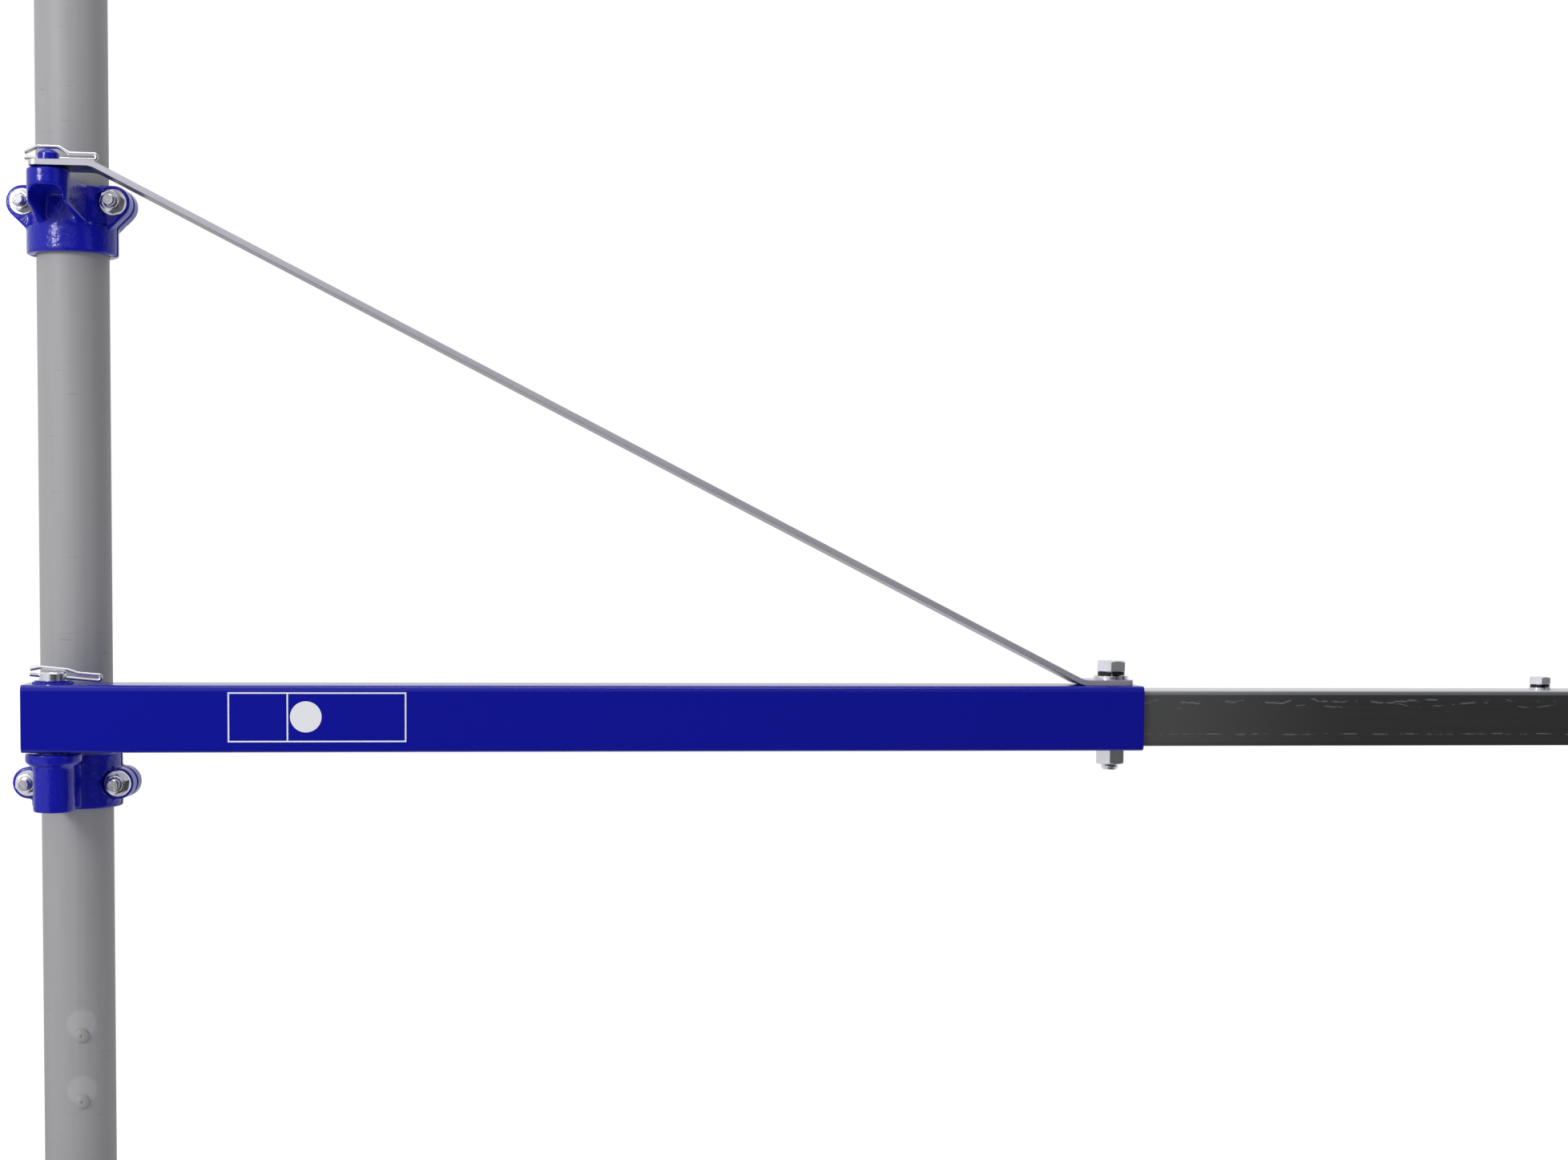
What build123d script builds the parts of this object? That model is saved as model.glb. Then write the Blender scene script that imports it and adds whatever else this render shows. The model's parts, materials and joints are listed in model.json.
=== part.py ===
from build123d import *
import os
from math import cos, radians, sin

os.makedirs("parts", exist_ok=True)

# Hoist swing arm on a round post, in millimetres.
# The origin is the centre of the post's lower end, +Z is up, +X runs along the arm and +Y is away
# from the side that the pivot pins stand on.

# Round post
post_diameter = 48.3
post_wall = 3.2
post_length = 840.0
rivet_heights = (62.0, 108.0)
rivet_turn = 12.0
rivet_head_radius = 5.0
rivet_head_height = 2.4
rivet_head_edge = 0.9
rivet_crown_radius = 2.6
rivet_shank_radius = 2.4
rivet_shank_room = 0.1
rivet_tail = 1.0

# Where the arm and its pivot axis lie
arm_height = 330.0
pivot_offset = 58.0
bracket_turn = 6.0

# Both clamps round the post
clamp_fit = 0.15
clamp_wall = 6.2
clamp_split = 2.0
clamp_bolt_spacing = 61.0
clamp_bolt_radius = 4.0
clamp_bolt_room = 0.4
clamp_stud_end = 6.0
spot_face_room = 0.3
ear_radius = 11.5
ear_depth = 13.0

# Flange nuts and bolt heads on the clamps
clamp_nut_flats = 13.0
clamp_nut_height = 6.6
clamp_nut_flange_radius = 9.4
clamp_nut_flange_height = 1.8
clamp_head_height = 5.3
nut_thread_room = 0.08

# Upper clamp: its boss top stands over the arm's centre line, and the rest hangs under the boss top
upper_boss_top_height = 362.7
upper_boss_radius = 14.0
upper_neck_height = 30.6
upper_band_height = 19.2
upper_neck_step = 1.6
upper_bolt_drop = 14.9
upper_saddle_drop = 5.0
upper_ear_root = 18.0
upper_wing_height = 7.5
upper_wing_half_width = 20.0
upper_saddle_half_width = 17.0
arch_width = 21.0
arch_roof = 11.8
slope_nose_drop = 20.2

# Lower clamp, with depths under the arm's centre line
lower_band_top = 27.6
lower_band_bottom = 65.0
lower_bolt_depth = 48.5
lower_boss_radius = 13.7
lower_boss_bottom = 63.5
lower_flange_radius = 18.5
lower_flange_height = 5.8
lower_cone_height = 4.0
lower_web_width = 19.0
lower_web_top = 33.0
lower_web_fillet = 5.0
lower_web_spread = 17.0
lower_ear_radius = 11.0
lower_ear_root = 10.0

# Pivot pins and their spring clips
upper_pin_radius = 7.0
upper_pin_rise = 5.4
upper_pin_dome = 3.2
lower_pin_radius = 9.0
lower_pin_rise = 5.6
pin_chamfer = 1.0
pin_seat_fit = 0.02
pivot_fit = 0.08
thrust_gap = 0.3
clip_wire_radius = 1.3
clip_room = 0.2
clip_reach = 31.0
clip_tip = 15.0
clip_loop_width = 3.6
clip_loop_radius = 1.7
clip_bend_radius = 4.0
clip_flare = 6.5
upper_clip_tilt = 0.0
lower_clip_tilt = 3.0
upper_clip_hole_height = 2.4
lower_clip_hole_height = 2.6

# Square arm tube and the bush through it
arm_size = 45.0
arm_wall = 2.5
arm_corner = 4.0
arm_tail = 17.5
arm_reach = 742.0
bush_radius = 12.2
bush_foot = 1.2
bush_rise = 2.2
weld_fit = 0.05

# Extension tube inside the arm tube
slide_room = 0.5
extension_wall = 2.5
extension_corner = 3.0
extension_start = 612.0
extension_reach = 1068.0

# Flat strut
strut_width = 30.0
strut_thickness = 4.0
strut_tail = 11.0
strut_head_length = 29.5
strut_foot_start = 701.0
strut_foot_end = 737.0
strut_bend_radius = 16.0
strut_corner = 5.0

# Bolt through the strut, the arm tube and the extension tube
strut_bolt_place = 724.0
strut_bolt_radius = 6.0
strut_bolt_room = 0.4
strut_head_flats = 19.0
strut_head_height = 7.5
strut_washer_radius = 12.0
strut_washer_height = 2.5
strut_spring_radius = 9.4
strut_spring_height = 3.0
strut_nut_height = 10.4
strut_bolt_end = 4.0

# Stop screw near the end of the extension tube
stop_inset = 28.0
stop_radius = 4.0
stop_room = 0.3
stop_head_flats = 13.0
stop_head_height = 5.3
stop_washer_radius = 7.6
stop_washer_height = 1.6
stop_spring_radius = 6.8
stop_spring_height = 2.2
stop_nut_height = 6.5
stop_screw_end = 3.0

# Details shared by the fasteners
washer_room = 0.3
spring_washer_slit = 1.6
hex_chamfer = 0.8
hex_turn = 30.0

# Worked out from the sizes above
arch_top_height = upper_boss_top_height - arch_roof
slope_nose_height = upper_boss_top_height - slope_nose_drop
upper_bolt_height = upper_boss_top_height - upper_bolt_drop
upper_band_top = upper_boss_top_height - upper_neck_height
upper_band_bottom = upper_band_top - upper_band_height
stop_place = extension_reach - stop_inset
post_radius = post_diameter / 2
upper_pin_dome_radius = (upper_pin_radius**2 + upper_pin_dome**2) / (2 * upper_pin_dome)
clamp_bore = post_radius + clamp_fit
clamp_radius = clamp_bore + clamp_wall
turn = radians(bracket_turn)
pivot_x = -pivot_offset * sin(turn)
pivot_y = -pivot_offset * cos(turn)
arm_top = arm_height + arm_size / 2
arm_bottom = arm_height - arm_size / 2
extension_size = arm_size - 2 * arm_wall - 2 * slide_room
bush_bottom = arm_bottom - bush_foot
bush_top = arm_top + bush_rise
boss_top = arm_height + upper_boss_top_height
strut_head_bottom = boss_top + thrust_gap
strut_head_top = strut_head_bottom + strut_thickness
upper_clip_centre = strut_head_top + upper_clip_hole_height
lower_clip_centre = bush_top + lower_clip_hole_height
upper_pin_top = strut_head_top + upper_pin_rise + upper_pin_dome
lower_pin_top = bush_top + lower_pin_rise


def bracket_plan(height):
    """Level plane on the post's axis, turned with the brackets: the pivot lies along its -Y."""
    return Plane(origin=(0, 0, height), x_dir=(cos(turn), -sin(turn), 0), z_dir=(0, 0, 1))


def bracket_front(height, forward=0.0):
    """Upright plane that faces the pivot side, set forward of the post's axis."""
    place = (-sin(turn) * forward, -cos(turn) * forward, height)
    return Plane(origin=place, x_dir=(cos(turn), -sin(turn), 0), z_dir=(-sin(turn), -cos(turn), 0))


def bracket_side():
    """Upright plane through the post's axis and the pivot: X runs forward and Y runs up."""
    return Plane(origin=(0, 0, 0), x_dir=(-sin(turn), -cos(turn), 0), z_dir=(-cos(turn), sin(turn), 0))


def pivot_plan(height):
    """Level plane on the pivot's axis, in line with the arm."""
    return Plane(origin=(pivot_x, pivot_y, height))


def arm_section(along):
    """Plane across the arm at a distance from the pivot: X runs across and Y runs up."""
    return Plane(origin=(pivot_x + along, pivot_y, arm_height), x_dir=(0, 1, 0), z_dir=(1, 0, 0))


def save(piece, name):
    piece.part.label = name
    export_step(piece.part, f"parts/{name}.step")


# Upright plane through the pivot's axis, in line with the arm
pivot_upright = Plane(origin=(pivot_x, pivot_y, 0), x_dir=(1, 0, 0), z_dir=(0, -1, 0))

# Post: a plain round tube, cut square at both ends
rivet_angle = radians(rivet_turn)
rivet_direction = (sin(rivet_angle), -cos(rivet_angle), 0)


def rivet_plane(height):
    """Plane that touches the post where a rivet sits, facing outwards."""
    place = (rivet_direction[0] * post_radius, rivet_direction[1] * post_radius, height)
    return Plane(origin=place, x_dir=(cos(rivet_angle), sin(rivet_angle), 0), z_dir=rivet_direction)


with BuildPart() as post:
    with BuildSketch(Plane.XY):
        Circle(post_radius)
        Circle(post_radius - post_wall, mode=Mode.SUBTRACT)
    extrude(amount=post_length)
    for height in rivet_heights:
        with BuildSketch(rivet_plane(height)):
            Circle(rivet_shank_radius + rivet_shank_room)
        extrude(amount=-post_radius, mode=Mode.SUBTRACT)
save(post, "post")

# Rivets: low crowned heads on the front of the post
with BuildPart() as post_rivets:
    for height in rivet_heights:
        seat = rivet_plane(height)
        with BuildSketch(Plane(origin=seat.origin, x_dir=seat.x_dir, z_dir=(0, 0, -1))):
            with BuildLine():
                Polyline((0, 0), (rivet_head_radius, 0), (rivet_head_radius, rivet_head_edge),
                         (rivet_crown_radius, rivet_head_height), (0, rivet_head_height), close=True)
            make_face()
        revolve(axis=Axis(seat.origin, seat.z_dir))
        with BuildSketch(seat):
            Circle(rivet_shank_radius)
        extrude(amount=-(post_wall + rivet_tail))
save(post_rivets, "post_rivets")


def clamp_half(bottom, band_top, top, neck_step, bolt_height, ear, root, wing, front):
    """Half of a clamp: band, neck above it and two ears with bolt holes, bored for the post."""
    side = 1 if front else -1
    half = BuildPart()
    with half:
        with BuildSketch(bracket_plan(bottom)):
            Circle(clamp_radius)
        extrude(amount=band_top - bottom)
        with BuildSketch(bracket_plan(bottom)):
            Circle(clamp_radius - neck_step)
        extrude(amount=top - bottom)
        with BuildSketch(bracket_front(bolt_height)):
            with Locations((-clamp_bolt_spacing / 2, 0), (clamp_bolt_spacing / 2, 0)):
                Circle(ear)
            with Locations((0, -root)):
                Rectangle(2 * (clamp_radius - clamp_split), root + wing, align=(Align.CENTER, Align.MIN))
            make_hull()
            if wing < ear:
                with Locations((0, wing)):
                    Rectangle(2 * upper_wing_half_width, 2 * ear, align=(Align.CENTER, Align.MIN),
                              mode=Mode.SUBTRACT)
        extrude(amount=side * ear_depth)
        with BuildSketch(bracket_plan(bottom)):
            Circle(clamp_bore)
        extrude(amount=top - bottom + ear, mode=Mode.SUBTRACT)
        with BuildSketch(bracket_front(bolt_height, -2 * ear_depth)):
            with Locations((-clamp_bolt_spacing / 2, 0), (clamp_bolt_spacing / 2, 0)):
                Circle(clamp_bolt_radius + clamp_bolt_room)
        extrude(amount=4 * ear_depth, mode=Mode.SUBTRACT)
        with BuildSketch(bracket_front(bolt_height, side * ear_depth)):
            with Locations((-clamp_bolt_spacing / 2, 0), (clamp_bolt_spacing / 2, 0)):
                Circle(clamp_nut_flange_radius + spot_face_room)
        extrude(amount=side * clamp_radius, mode=Mode.SUBTRACT)
        split(bisect_by=bracket_front(0, side * clamp_split / 2), keep=Keep.TOP if front else Keep.BOTTOM)
    return half


# Upper clamp: a boss on two webs with an arched pocket between them
upper_bottom = arm_height + upper_band_bottom
upper_top = boss_top - upper_saddle_drop
upper_sizes = (upper_bottom, arm_height + upper_band_top, upper_top, upper_neck_step,
               arm_height + upper_bolt_height, ear_radius, upper_ear_root, upper_wing_height)

with BuildPart() as upper_clamp_front:
    with BuildSketch(bracket_plan(arm_height + upper_band_top)):
        with Locations((0, -pivot_offset)):
            Circle(upper_boss_radius)
        with Locations((0, -clamp_bore - 2)):
            Rectangle(2 * upper_saddle_half_width, 1)
        make_hull()
    extrude(amount=upper_top - arm_height - upper_band_top)
    with BuildSketch(bracket_plan(arm_height + upper_band_top)):
        with Locations((0, -pivot_offset)):
            Circle(upper_boss_radius)
    extrude(amount=boss_top - arm_height - upper_band_top)
    nose = pivot_offset + upper_boss_radius + 1
    with BuildSketch(bracket_side()):
        with BuildLine():
            Polyline(
                (clamp_radius - upper_neck_step, arm_height + upper_band_top),
                (nose, arm_height + slope_nose_height),
                (nose, arm_height + upper_band_top - 1),
                (clamp_radius - upper_neck_step, arm_height + upper_band_top - 1),
                close=True,
            )
        make_face()
    extrude(amount=2 * clamp_radius, both=True, mode=Mode.SUBTRACT)
    add(clamp_half(*upper_sizes, front=True).part)
    with BuildSketch(bracket_front(arm_height, clamp_radius)):
        with Locations((0, arch_top_height - arch_width / 2)):
            Circle(arch_width / 2)
        with Locations((0, arch_top_height - arch_width / 2)):
            Rectangle(arch_width, arch_top_height - upper_band_top, align=(Align.CENTER, Align.MAX))
    extrude(amount=2 * pivot_offset, mode=Mode.SUBTRACT)
    with BuildSketch(pivot_plan(boss_top)):
        Circle(upper_pin_radius + pin_seat_fit)
    extrude(amount=-arch_roof, mode=Mode.SUBTRACT)
save(upper_clamp_front, "upper_clamp_front")

upper_clamp_rear = clamp_half(*upper_sizes, front=False)
save(upper_clamp_rear, "upper_clamp_rear")

# Lower clamp: a flanged boss under the arm, on one thick web that runs out into the band
lower_bottom = arm_height - lower_band_bottom
lower_top = arm_height - lower_band_top
lower_sizes = (lower_bottom, lower_top, lower_top, 0.0,
               arm_height - lower_bolt_depth, lower_ear_radius, lower_ear_root, lower_ear_radius)
flange_top = bush_bottom - thrust_gap
flange_bottom = flange_top - lower_flange_height
cone_bottom = flange_bottom - lower_cone_height
boss_bottom = arm_height - lower_boss_bottom

with BuildPart() as lower_clamp_front:
    add(clamp_half(*lower_sizes, front=True).part)
    with BuildSketch(bracket_plan(boss_bottom)) as web_plan:
        Circle(clamp_radius)
        with Locations((0, -pivot_offset)):
            Circle(lower_boss_radius)
        Rectangle(lower_web_width, pivot_offset, align=(Align.CENTER, Align.MAX))
        inner_corners = web_plan.vertices().filter_by(lambda v: abs(abs(v.X) - lower_web_width / 2) < 0.1)
        fillet(inner_corners, radius=lower_web_fillet)
        Rectangle(2 * lower_web_spread, pivot_offset + lower_boss_radius, align=(Align.CENTER, Align.MAX),
                  mode=Mode.INTERSECT)
        Circle(clamp_bore, mode=Mode.SUBTRACT)
    extrude(amount=arm_height - lower_web_top - boss_bottom)
    with BuildSketch(pivot_upright):
        with BuildLine():
            Polyline(
                (0, boss_bottom),
                (lower_boss_radius, boss_bottom),
                (lower_boss_radius, cone_bottom),
                (lower_flange_radius, flange_bottom),
                (lower_flange_radius, flange_top),
                (0, flange_top),
                close=True,
            )
        make_face()
    revolve(axis=Axis((pivot_x, pivot_y, 0), (0, 0, 1)))
    with BuildSketch(pivot_plan(flange_top)):
        Circle(lower_pin_radius + pin_seat_fit)
    extrude(amount=boss_bottom - flange_top, mode=Mode.SUBTRACT)
save(lower_clamp_front, "lower_clamp_front")

lower_clamp_rear = clamp_half(*lower_sizes, front=False)
save(lower_clamp_rear, "lower_clamp_rear")

# Bolts and flange nuts that close the clamps
for level, bolt_height in (("upper", arm_height + upper_bolt_height), ("lower", arm_height - lower_bolt_depth)):
    for side, across in (("left", -clamp_bolt_spacing / 2), ("right", clamp_bolt_spacing / 2)):
        nut_front = ear_depth + clamp_nut_flange_height + clamp_nut_height
        with BuildPart() as clamp_bolt:
            with BuildSketch(bracket_front(bolt_height, -ear_depth)):
                with Locations((across, 0)):
                    Circle(clamp_bolt_radius)
            extrude(amount=ear_depth + nut_front + clamp_stud_end)
            with BuildSketch(bracket_front(bolt_height, -ear_depth)):
                with Locations((across, 0)):
                    RegularPolygon(clamp_nut_flats / 2, 6, major_radius=False)
            extrude(amount=-clamp_head_height)
        save(clamp_bolt, f"{level}_clamp_bolt_{side}")
        with BuildPart() as clamp_nut:
            with BuildSketch(bracket_front(bolt_height, ear_depth)):
                with Locations((across, 0)):
                    Circle(clamp_nut_flange_radius)
            extrude(amount=clamp_nut_flange_height)
            with BuildSketch(bracket_front(bolt_height, ear_depth + clamp_nut_flange_height)):
                with Locations((across, 0)):
                    RegularPolygon(clamp_nut_flats / 2, 6, major_radius=False)
            extrude(amount=clamp_nut_height)
            with BuildSketch(bracket_front(bolt_height, ear_depth)):
                with Locations((across, 0)):
                    Circle(clamp_bolt_radius + nut_thread_room)
            extrude(amount=clamp_nut_flange_height + clamp_nut_height, mode=Mode.SUBTRACT)
        save(clamp_nut, f"{level}_clamp_nut_{side}")


def clip_plane(height, tilt):
    """Upright plane of a spring clip on the pivot's axis: X runs along the clip."""
    lean = radians(tilt)
    return Plane(origin=(pivot_x, pivot_y, height), x_dir=(cos(lean), 0, -sin(lean)), z_dir=(0, -1, 0))


def clip_hole(height, tilt):
    """Plane across a clip's straight leg, left of the pin."""
    lean = radians(tilt)
    return Plane(origin=(pivot_x, pivot_y, height), x_dir=(0, 1, 0), z_dir=(cos(lean), 0, -sin(lean)))


# Upper pivot pin: painted with the clamp, with a domed end
upper_pin_bottom = arm_height + arch_top_height
with BuildPart() as upper_pivot_pin:
    with BuildSketch(pivot_upright):
        with BuildLine():
            Polyline((0, upper_pin_top), (0, upper_pin_bottom), (upper_pin_radius, upper_pin_bottom),
                     (upper_pin_radius, upper_pin_top - upper_pin_dome))
            RadiusArc((upper_pin_radius, upper_pin_top - upper_pin_dome), (0, upper_pin_top),
                      -upper_pin_dome_radius)
        make_face()
    revolve(axis=Axis((pivot_x, pivot_y, 0), (0, 0, 1)))
    with BuildSketch(clip_hole(upper_clip_centre, upper_clip_tilt)):
        Circle(clip_wire_radius + clip_room)
    extrude(amount=2 * upper_pin_radius, both=True, mode=Mode.SUBTRACT)
save(upper_pivot_pin, "upper_pivot_pin")

# Lower pivot pin: plated steel, from the boss up through the arm's bush
with BuildPart() as lower_pivot_pin:
    with BuildSketch(pivot_plan(boss_bottom)):
        Circle(lower_pin_radius)
    extrude(amount=lower_pin_top - boss_bottom)
    chamfer(lower_pivot_pin.faces().sort_by(Axis.Z)[-1].edges(), length=pin_chamfer)
    with BuildSketch(clip_hole(lower_clip_centre, lower_clip_tilt)):
        Circle(clip_wire_radius + clip_room)
    extrude(amount=2 * lower_pin_radius, both=True, mode=Mode.SUBTRACT)
save(lower_pivot_pin, "lower_pivot_pin")

# Spring clips: one leg goes through the pin, the other springs over its end
clip_sizes = (
    ("upper_clip", upper_clip_centre, upper_clip_tilt, upper_pin_radius, upper_pin_top),
    ("lower_clip", lower_clip_centre, lower_clip_tilt, lower_pin_radius, lower_pin_top),
)
for name, height, tilt, pin_radius, pin_top in clip_sizes:
    over = pin_top - height + clip_wire_radius + clip_room + pin_radius * sin(radians(tilt))
    with BuildPart() as spring_clip:
        with BuildLine(clip_plane(height, tilt)) as clip_path:
            FilletPolyline(
                (-clip_tip, 0),
                (clip_reach, 0),
                (clip_reach, clip_loop_width),
                (pin_radius + clip_flare, clip_loop_width),
                (pin_radius, over),
                (-pin_radius, over),
                (-clip_tip, clip_loop_width),
                radius=[clip_loop_radius, clip_loop_radius, clip_bend_radius, clip_bend_radius,
                        clip_bend_radius],
            )
        with BuildSketch(Plane(origin=clip_path.wire() @ 0, z_dir=clip_path.wire() % 0)):
            RegularPolygon(clip_wire_radius, 8)
        sweep(path=clip_path.wire())
    save(spring_clip, name)

# Arm tube: square hollow section, open at both ends
with BuildPart() as arm_tube:
    with BuildSketch(arm_section(-arm_tail)):
        RectangleRounded(arm_size, arm_size, arm_corner)
        RectangleRounded(arm_size - 2 * arm_wall, arm_size - 2 * arm_wall, arm_corner - arm_wall,
                         mode=Mode.SUBTRACT)
    extrude(amount=arm_tail + arm_reach)
    with BuildSketch(pivot_plan(arm_bottom)):
        Circle(bush_radius + weld_fit)
        with Locations((strut_bolt_place, 0)):
            Circle(strut_bolt_radius + strut_bolt_room)
    extrude(amount=arm_size, mode=Mode.SUBTRACT)
save(arm_tube, "arm_tube")

# Bush: welded through the arm tube, it turns on the lower pin
with BuildPart() as pivot_bush:
    with BuildSketch(pivot_plan(bush_bottom)):
        Circle(bush_radius)
        Circle(lower_pin_radius + pivot_fit, mode=Mode.SUBTRACT)
    extrude(amount=bush_top - bush_bottom)
save(pivot_bush, "pivot_bush")

# Extension tube: a smaller square section that slides in the arm tube
with BuildPart() as extension_tube:
    with BuildSketch(arm_section(extension_start)):
        RectangleRounded(extension_size, extension_size, extension_corner)
        RectangleRounded(extension_size - 2 * extension_wall, extension_size - 2 * extension_wall,
                         extension_corner - extension_wall, mode=Mode.SUBTRACT)
    extrude(amount=extension_reach - extension_start)
    with BuildSketch(pivot_plan(arm_bottom)):
        with Locations((strut_bolt_place, 0)):
            Circle(strut_bolt_radius + strut_bolt_room)
    extrude(amount=arm_size, mode=Mode.SUBTRACT)
    with BuildSketch(pivot_plan(arm_height)):
        with Locations((stop_place, 0)):
            Circle(stop_radius + stop_room)
    extrude(amount=arm_size, mode=Mode.SUBTRACT)
save(extension_tube, "extension_tube")

# Strut: a flat bar bent at both ends, from the upper pin down to the arm tube
with BuildPart() as strut:
    with BuildLine(pivot_upright) as strut_path:
        FilletPolyline(
            (-strut_tail, strut_head_bottom + strut_thickness / 2),
            (strut_head_length, strut_head_bottom + strut_thickness / 2),
            (strut_foot_start, arm_top + strut_thickness / 2),
            (strut_foot_end, arm_top + strut_thickness / 2),
            radius=strut_bend_radius,
        )
    with BuildSketch(Plane(origin=strut_path.wire() @ 0, x_dir=(0, 1, 0), z_dir=(1, 0, 0))):
        Rectangle(strut_width, strut_thickness)
    sweep(path=strut_path.wire())
    corners = strut.edges().filter_by(Axis.Z)
    fillet(corners, radius=strut_corner)
    with BuildSketch(pivot_plan(strut_head_bottom)):
        Circle(upper_pin_radius + pivot_fit)
    extrude(amount=strut_thickness, mode=Mode.SUBTRACT)
    with BuildSketch(pivot_plan(arm_top)):
        with Locations((strut_bolt_place, 0)):
            Circle(strut_bolt_radius + strut_bolt_room)
    extrude(amount=strut_thickness, mode=Mode.SUBTRACT)
save(strut, "strut")


def washer(along, bottom, height, outer, hole, slit=0.0):
    """Flat washer, or with a slit a spring washer, lying level on the arm's centre line."""
    ring = BuildPart()
    with ring:
        with BuildSketch(pivot_plan(bottom)):
            with Locations((along, 0)):
                Circle(outer)
                Circle(hole, mode=Mode.SUBTRACT)
            if slit:
                with Locations((along, -outer)):
                    Rectangle(slit, 2 * (outer - hole) + slit, rotation=20, mode=Mode.SUBTRACT)
        extrude(amount=height)
    return ring


def hex_nut(along, bottom, height, flats, hole):
    """Hexagon nut lying level on the arm's centre line."""
    nut = BuildPart()
    with nut:
        with BuildSketch(pivot_plan(bottom)):
            with Locations((along, 0)):
                RegularPolygon(flats / 2, 6, major_radius=False, rotation=hex_turn)
                Circle(hole, mode=Mode.SUBTRACT)
        extrude(amount=height)
    return nut


def hex_bolt(along, head_bottom, head_height, flats, shank, shank_end):
    """Hexagon bolt standing on the arm's centre line, head up."""
    bolt = BuildPart()
    with bolt:
        with BuildSketch(pivot_plan(head_bottom)):
            with Locations((along, 0)):
                RegularPolygon(flats / 2, 6, major_radius=False, rotation=hex_turn)
        extrude(amount=head_height)
        with BuildSketch(pivot_plan(head_bottom)):
            with Locations((along, 0)):
                Circle(shank)
        extrude(amount=shank_end - head_bottom)
        chamfer(bolt.faces().sort_by(Axis.Z)[0].edges(), length=hex_chamfer)
    return bolt


# Bolt, washers and nut at the strut's foot
foot_top = arm_top + strut_thickness
strut_spring_bottom = foot_top + strut_washer_height
strut_head_seat = strut_spring_bottom + strut_spring_height
strut_hole = strut_bolt_radius + washer_room
save(washer(strut_bolt_place, foot_top, strut_washer_height, strut_washer_radius, strut_hole), "strut_washer")
save(washer(strut_bolt_place, strut_spring_bottom, strut_spring_height, strut_spring_radius, strut_hole,
            spring_washer_slit), "strut_spring_washer")
save(hex_bolt(strut_bolt_place, strut_head_seat, strut_head_height, strut_head_flats, strut_bolt_radius,
              arm_bottom - strut_nut_height - strut_bolt_end), "strut_bolt")
save(hex_nut(strut_bolt_place, arm_bottom - strut_nut_height, strut_nut_height, strut_head_flats,
             strut_bolt_radius + nut_thread_room), "strut_nut")

# Stop screw, washers and inner nut on the extension tube
extension_top = arm_height + extension_size / 2
extension_ceiling = extension_top - extension_wall
stop_spring_bottom = extension_top + stop_washer_height
stop_head_seat = stop_spring_bottom + stop_spring_height
stop_hole = stop_radius + washer_room
save(washer(stop_place, extension_top, stop_washer_height, stop_washer_radius, stop_hole), "stop_washer")
save(washer(stop_place, stop_spring_bottom, stop_spring_height, stop_spring_radius, stop_hole,
            spring_washer_slit), "stop_spring_washer")
save(hex_bolt(stop_place, stop_head_seat, stop_head_height, stop_head_flats, stop_radius,
              extension_ceiling - stop_nut_height - stop_screw_end), "stop_screw")
save(hex_nut(stop_place, extension_ceiling - stop_nut_height, stop_nut_height, stop_head_flats,
             stop_radius + nut_thread_room), "stop_nut")
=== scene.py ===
import json
import math

import bmesh
import bpy
from mathutils import Matrix, Vector


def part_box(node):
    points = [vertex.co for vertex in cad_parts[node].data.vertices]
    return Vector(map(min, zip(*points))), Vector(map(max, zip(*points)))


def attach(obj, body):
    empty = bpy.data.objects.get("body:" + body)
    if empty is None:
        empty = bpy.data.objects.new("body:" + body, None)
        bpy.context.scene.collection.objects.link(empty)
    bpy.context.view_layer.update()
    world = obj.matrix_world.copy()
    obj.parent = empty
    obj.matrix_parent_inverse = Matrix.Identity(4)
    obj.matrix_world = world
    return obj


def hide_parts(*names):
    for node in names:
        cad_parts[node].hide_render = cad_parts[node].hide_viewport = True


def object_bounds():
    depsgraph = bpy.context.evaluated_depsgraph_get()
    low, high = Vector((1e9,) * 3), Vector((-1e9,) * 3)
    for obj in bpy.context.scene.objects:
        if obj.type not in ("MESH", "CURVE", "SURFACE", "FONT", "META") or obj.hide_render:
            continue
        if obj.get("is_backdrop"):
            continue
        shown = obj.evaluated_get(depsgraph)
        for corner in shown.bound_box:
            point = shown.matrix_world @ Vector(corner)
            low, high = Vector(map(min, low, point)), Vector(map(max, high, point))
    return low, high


# Hoist swing arm: castings, tubes, strut, pins, clips and fasteners in their finishes.
# Lengths here are in millimetres, and MM turns them into the frame's metres.
MM = 0.001

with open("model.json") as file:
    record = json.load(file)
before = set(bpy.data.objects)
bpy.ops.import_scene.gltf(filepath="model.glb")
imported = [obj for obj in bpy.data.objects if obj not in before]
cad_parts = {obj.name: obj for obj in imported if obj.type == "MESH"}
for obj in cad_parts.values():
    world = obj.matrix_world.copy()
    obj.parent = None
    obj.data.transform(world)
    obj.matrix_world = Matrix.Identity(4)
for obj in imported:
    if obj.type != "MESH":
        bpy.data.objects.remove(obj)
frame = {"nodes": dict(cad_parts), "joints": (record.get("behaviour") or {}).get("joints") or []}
cad_low, cad_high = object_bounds()

# Where things are, read from the frame
pivot = Vector(frame["joints"][0]["pos_m"])
turn = math.atan2(-pivot.x, -pivot.y)
across = Vector((math.cos(turn), -math.sin(turn), 0))
forward = Vector((-math.sin(turn), -math.cos(turn), 0))
up = Vector((0, 0, 1))

# Frame meshes: corners closer than the first are one, and faces within the second angle are one
join_within = 0.002
flat_within = 0.6

# Drawn and turned pieces: edges sharper than the first angle are rounded, and a skin that bends
# less than the second is smooth
round_from = 40.0
smooth_below = 32.0

# Pieces made by node trees: the angle below which their skin is smooth, and the same for wire and
# weld, which are round all over
shape_smooth = 35.0
round_smooth = 60.0

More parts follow.
